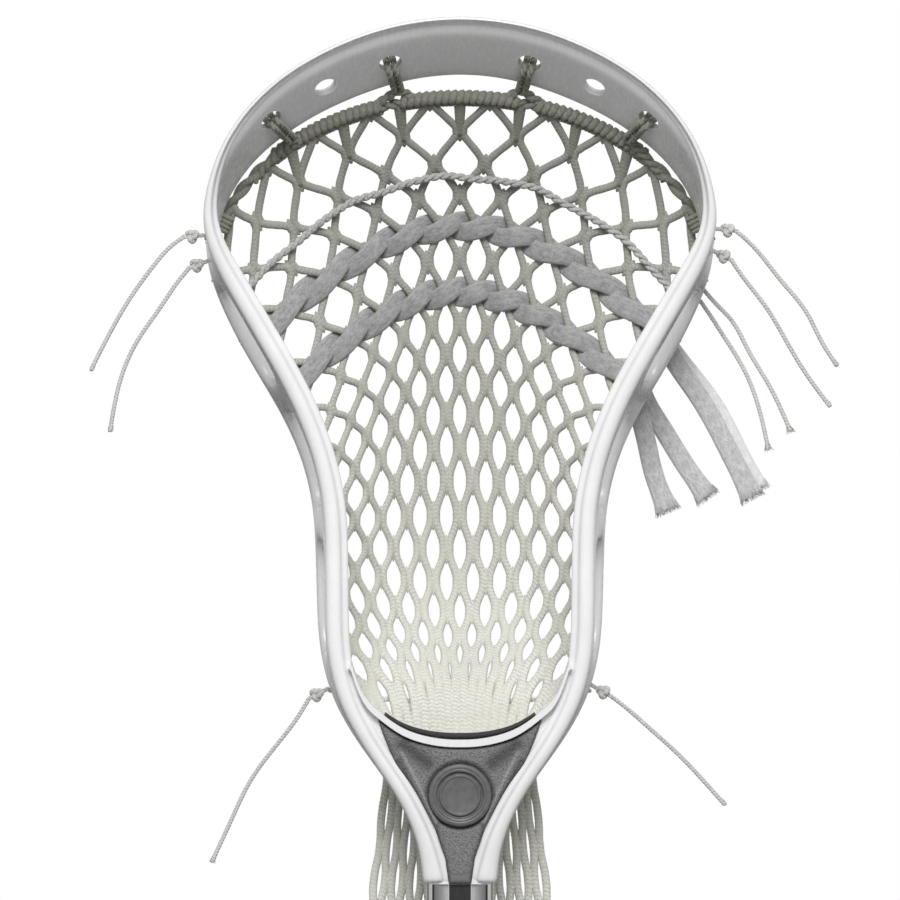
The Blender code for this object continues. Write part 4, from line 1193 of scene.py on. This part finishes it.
def build_head(look):
    """The moulding: its rounded wall joined to the throat and the ball stop's lip, with its holes cut."""
    head = solid("head_frame_look", *head_wall())
    rounding = head.modifiers.new("rounding", "SUBSURF")
    rounding.levels = rounding.render_levels = 3
    half = stop_arc(0.0, STOP_CURVE[-1][0], 40) + [(41.0, 18.0), (38.0, 6.0), (29.0, -9.0), (20.0, -20.0),
                                                   (13.6, -32.0), (10.6, -51.2), (0.0, -51.2)]
    core = solid("throat_core", *bar_parts(mirrored(half), RECESS_Y, THROAT_BACK))
    lip_top = stop_arc(0.0, STOP_CURVE[-1][0], 40)
    lip_low = stop_arc(LIP_HEIGHT, STOP_CURVE[-1][0] + 0.8, 40)
    lip = solid("stop_lip", *bar_parts(mirrored(lip_top + list(reversed(lip_low))), LIP_Y, RECESS_Y + 2))
    holes = hole_cutter()
    combine(head, core, "UNION")
    combine(head, lip, "UNION")
    combine(head, holes, "DIFFERENCE")
    add_hard_piece("head_frame", applied(head, [core, lip, holes]), 58, look)


# Throat pieces

def build_throat_panel(look):
    """The grip insert: rounded edges, a raised seat ring round the badge, hollows and ridges beside it."""
    arc_x, arc_z = np.array(stop_arc(LIP_HEIGHT + GAP, PANEL_SIDE[-1][1], 40)).T
    across, up = 120, 150
    low_z, high_z = PANEL_SIDE[0][0], arc_z[-1]
    s = np.linspace(-1, 1, across + 1)
    t = np.linspace(0, 1, up + 1)
    level = low_z + (high_z - low_z) * t
    half = along(PANEL_SIDE, level)
    x = s[None, :] * half[:, None]
    bow = np.interp(np.abs(x), arc_x, arc_z) - high_z
    z = level[:, None] + bow * t[:, None] ** 4
    edge = np.minimum((1 - np.abs(s))[None, :] * half[:, None], (1 - t)[:, None] * 30.0)
    edge = np.minimum(edge, (t * 60)[:, None] + 0.15)
    face = RECESS_Y - GAP - PANEL_THICK
    y = np.full_like(x, face) + 1.35 * np.exp(-np.clip(edge, 0, None) / 0.55)
    for depth, width, x0, z0, x1, z1 in PANEL_LINES:
        dx, dz = x1 - x0, z1 - z0
        share = np.clip(((np.abs(x) - x0) * dx + (z - z0) * dz) / (dx * dx + dz * dz), 0, 1)
        distance = np.hypot(np.abs(x) - (x0 + dx * share), z - (z0 + dz * share))
        y += depth * np.exp(-(distance / width) ** 2)
    from_badge = np.hypot(x, z - BADGE_Z)
    y += 1.0 * (1 - np.clip((from_badge - 10.9) / 1.9, 0, 1)) ** 1.3
    top = np.column_stack([x.ravel(), y.ravel(), z.ravel()])
    wide = across + 1
    faces = [(r * wide + c, r * wide + c + 1, (r + 1) * wide + c + 1, (r + 1) * wide + c)
             for r in range(up) for c in range(across)]
    rim = list(range(wide)) + [r * wide + across for r in range(1, up + 1)]
    rim += [up * wide + c for c in range(across - 1, -1, -1)] + [r * wide for r in range(up - 1, 0, -1)]
    back = top[rim] * np.array((1.0, 0.0, 1.0)) + np.array((0.0, RECESS_Y - GAP, 0.0))
    base = len(top)
    count = len(rim)
    faces += [(rim[i], base + i, base + (i + 1) % count, rim[(i + 1) % count]) for i in range(count)]
    faces.append(tuple(base + i for i in range(count)))
    mesh = make_mesh("throat_panel", [without_uv(np.concatenate([top, back]), faces)])
    # How deep the face is sunk at each point, which the grip's material turns into painted shade.
    hollow = mesh.attributes.new("hollow", "FLOAT", "POINT")
    sunk = np.concatenate([(y - face).ravel(), np.zeros(len(back))])
    hollow.data.foreach_set("value", sunk.astype(np.float32))
    add_hard_piece("throat_panel", mesh, 50, look)


def turned(profile, sides, centre, upright=False):
    """A closed round solid about +Y, or +Z, from (radius, distance) points, both end ones on the axis."""
    def spot(radius, along_axis, turn):
        a, b = radius * math.cos(turn), radius * math.sin(turn)
        return (centre[0] + a, centre[1] + b, centre[2] + along_axis) if upright \
            else (centre[0] + a, centre[1] + along_axis, centre[2] + b)

    points = [spot(0.0, profile[0][1], 0.0)]
    for radius, distance in profile[1:-1]:
        points += [spot(radius, distance, 2 * math.pi * i / sides) for i in range(sides)]
    points.append(spot(0.0, profile[-1][1], 0.0))
    faces = []
    rings = len(profile) - 2
    for i in range(sides):
        k = (i + 1) % sides
        faces.append((0, 1 + k, 1 + i))
        for ring in range(rings - 1):
            base = 1 + ring * sides
            faces.append((base + i, base + k, base + sides + k, base + sides + i))
        last = 1 + (rings - 1) * sides
        faces.append((last + i, last + k, len(points) - 1))
    if upright:
        faces = [tuple(reversed(f)) for f in faces]
    return points, faces


def rounded_profile(corners, radius=0.25, steps=4):
    """A profile with each inner corner eased."""
    made = [corners[0]]
    for last, corner, after in zip(corners, corners[1:], corners[2:]):
        a, b, c = (np.array(p, float) for p in (last, corner, after))
        ease = min(radius, np.linalg.norm(a - b) * 0.45, np.linalg.norm(c - b) * 0.45)
        start, end = b + unit(a - b) * ease, b + unit(c - b) * ease
        for t in np.linspace(0, 1, steps):
            made.append(tuple((1 - t) ** 2 * start + 2 * t * (1 - t) * b + t * t * end))
    return made + [corners[-1]]


def add_turned(node, corners, ease, sides, z, look):
    """A turned piece about +Y, centred at a height."""
    mesh = make_mesh(node, [without_uv(*turned(rounded_profile(corners, ease), sides, (0, 0, z)))])
    add_hard_piece(node, mesh, 50, look)


def build_throat_badge(look):
    """The medallion: a dished middle inside turned rings."""
    back = RECESS_Y - 2 * GAP - PANEL_THICK
    front = back - BADGE_THICK
    rings = [(0, 1.0), (6.3, 1.0), (6.5, 0.7), (7.2, 0.7), (7.4, 1.5), (8.0, 1.5), (8.3, 0.5), (8.9, 0.25),
             (9.2, 0.6), (9.6, 0.35), (10.5, 0.45), (BADGE_R, 1.1)]
    corners = [(radius, front + depth) for radius, depth in rings] + [(BADGE_R, back), (0, back)]
    add_turned("throat_badge", corners, 0.18, 96, BADGE_Z, look)


def build_ball_stop(look):
    """A foam strip stuck to the ball stop, thickest in the middle, its edges rounded."""
    arc = stop_arc(0.0, PAD_HALF - 0.4, 40)
    arc = np.array([(-x, z) for x, z in reversed(arc[1:])] + arc)
    thick = PAD_THICK * np.clip(np.cos(math.pi / 2 * arc[:, 0] / PAD_HALF), 0.03, 1) ** 0.9
    route = np.column_stack([arc[:, 0], np.full(len(arc), (LIP_Y + 0.6 + 14.6) / 2), arc[:, 1]])
    slope = unit(np.gradient(route, axis=0))
    up = np.column_stack([-slope[:, 2], np.zeros(len(arc)), slope[:, 0]])
    route += up * (GAP + thick / 2)[:, None]
    mesh = make_mesh("ball_stop_pad", [tube(route, up, 14.0 - LIP_Y, thick, 40, power=0.35)])
    piece = add_hard_piece("ball_stop_pad", mesh, 60, look)


def build_head_screw(look):
    """A plain shank with a low domed head and a round recess in it."""
    face = THROAT_BACK + GAP
    corners = [(0, 7.0), (1.3, 7.0), (1.8, 7.8), (1.8, face), (4.2, face), (4.2, face + 0.6),
               (3.4, face + 1.6), (1.8, face + 1.95), (1.5, face + 0.9), (0, face + 0.9)]
    add_turned("head_screw", corners, 0.2, 48, SCREW_Z, look)


# Shaft and butt cap

def build_shaft(look):
    """An octagonal tube with eased edges and the screw's hole through its back."""
    bottom = CAP_FLOOR + GAP - BALL_STOP_Z
    shaft = solid("shaft_shape", *bar_parts(octagon(0.0), bottom, SOCKET_TOP, True))
    bore = bar_parts(octagon(-SHAFT_WALL), bottom - CUT_OVER, SOCKET_TOP + CUT_OVER, True)
    bore = solid("shaft_bore", *bore)
    hole = solid("shaft_hole", *screw_rod(4, 20))
    combine(shaft, bore, "DIFFERENCE")
    combine(shaft, hole, "DIFFERENCE")
    bevel = shaft.modifiers.new("edges", "BEVEL")
    bevel.width = 0.45 * MILLIMETRE
    bevel.segments = 3
    bevel.limit_method = "ANGLE"
    bevel.angle_limit = math.radians(25)
    add_hard_piece("shaft", applied(shaft, [bore, hole]), 40, look)


def build_butt_cap(look):
    """A moulded rubber cap: a flange, grip ribs and a rounded mouth, with the shaft's pocket inside."""
    ground = -BALL_STOP_Z
    corners = [(0, 0.0), (14.6, 0.0), (16.6, 0.7), (17.0, 1.6), (17.0, 5.0), (15.9, 7.0)]
    for rib in range(5):
        foot = 9.5 + rib * 3.0
        corners += [(15.75, foot - 0.9), (15.3, foot - 0.5), (15.3, foot + 0.5), (15.75, foot + 0.9)]
    corners += [(15.6, 26.0), (15.0, CAP_LENGTH - 0.3), (14.6, CAP_LENGTH), (0, CAP_LENGTH)]
    points, faces = turned(rounded_profile(corners, 0.3), 96, (0, 0, ground), True)
    cap = solid("butt_cap_shape", points, faces)
    space = bar_parts(octagon(GAP), ground + CAP_FLOOR, ground + CAP_LENGTH + CUT_OVER, True)
    space = solid("cap_space", *space)
    combine(cap, space, "DIFFERENCE")
    add_hard_piece("butt_cap", applied(cap, [space]), 40, look, "butt_cap")


make_camera()
make_studio()
knit, braid, olive, tail_braid = (knit_material(name, *yarn) for name, yarn in YARNS.items())
lace, tail_lace, pale_lace = (fibre_material(name, grey(dark), grey(light))
                              for name, (dark, light) in LACE_FIBRES.items())
build_string_tails(tail_braid)
build_lace_tails(tail_lace, pale_lace)
build_pocket(knit)
build_net_tail(knit)
build_shooting_strings(braid, lace)
build_sidewall_strings(olive)
build_top_string(olive)
build_bottom_string(braid)
build_top_loops(olive)
build_head(head_plastic())
build_throat_panel(grip_material())
build_throat_badge(badge_material())
build_ball_stop(foam_material())
build_head_screw(steel_material())
build_shaft(alloy_material())
build_butt_cap(rubber_material())
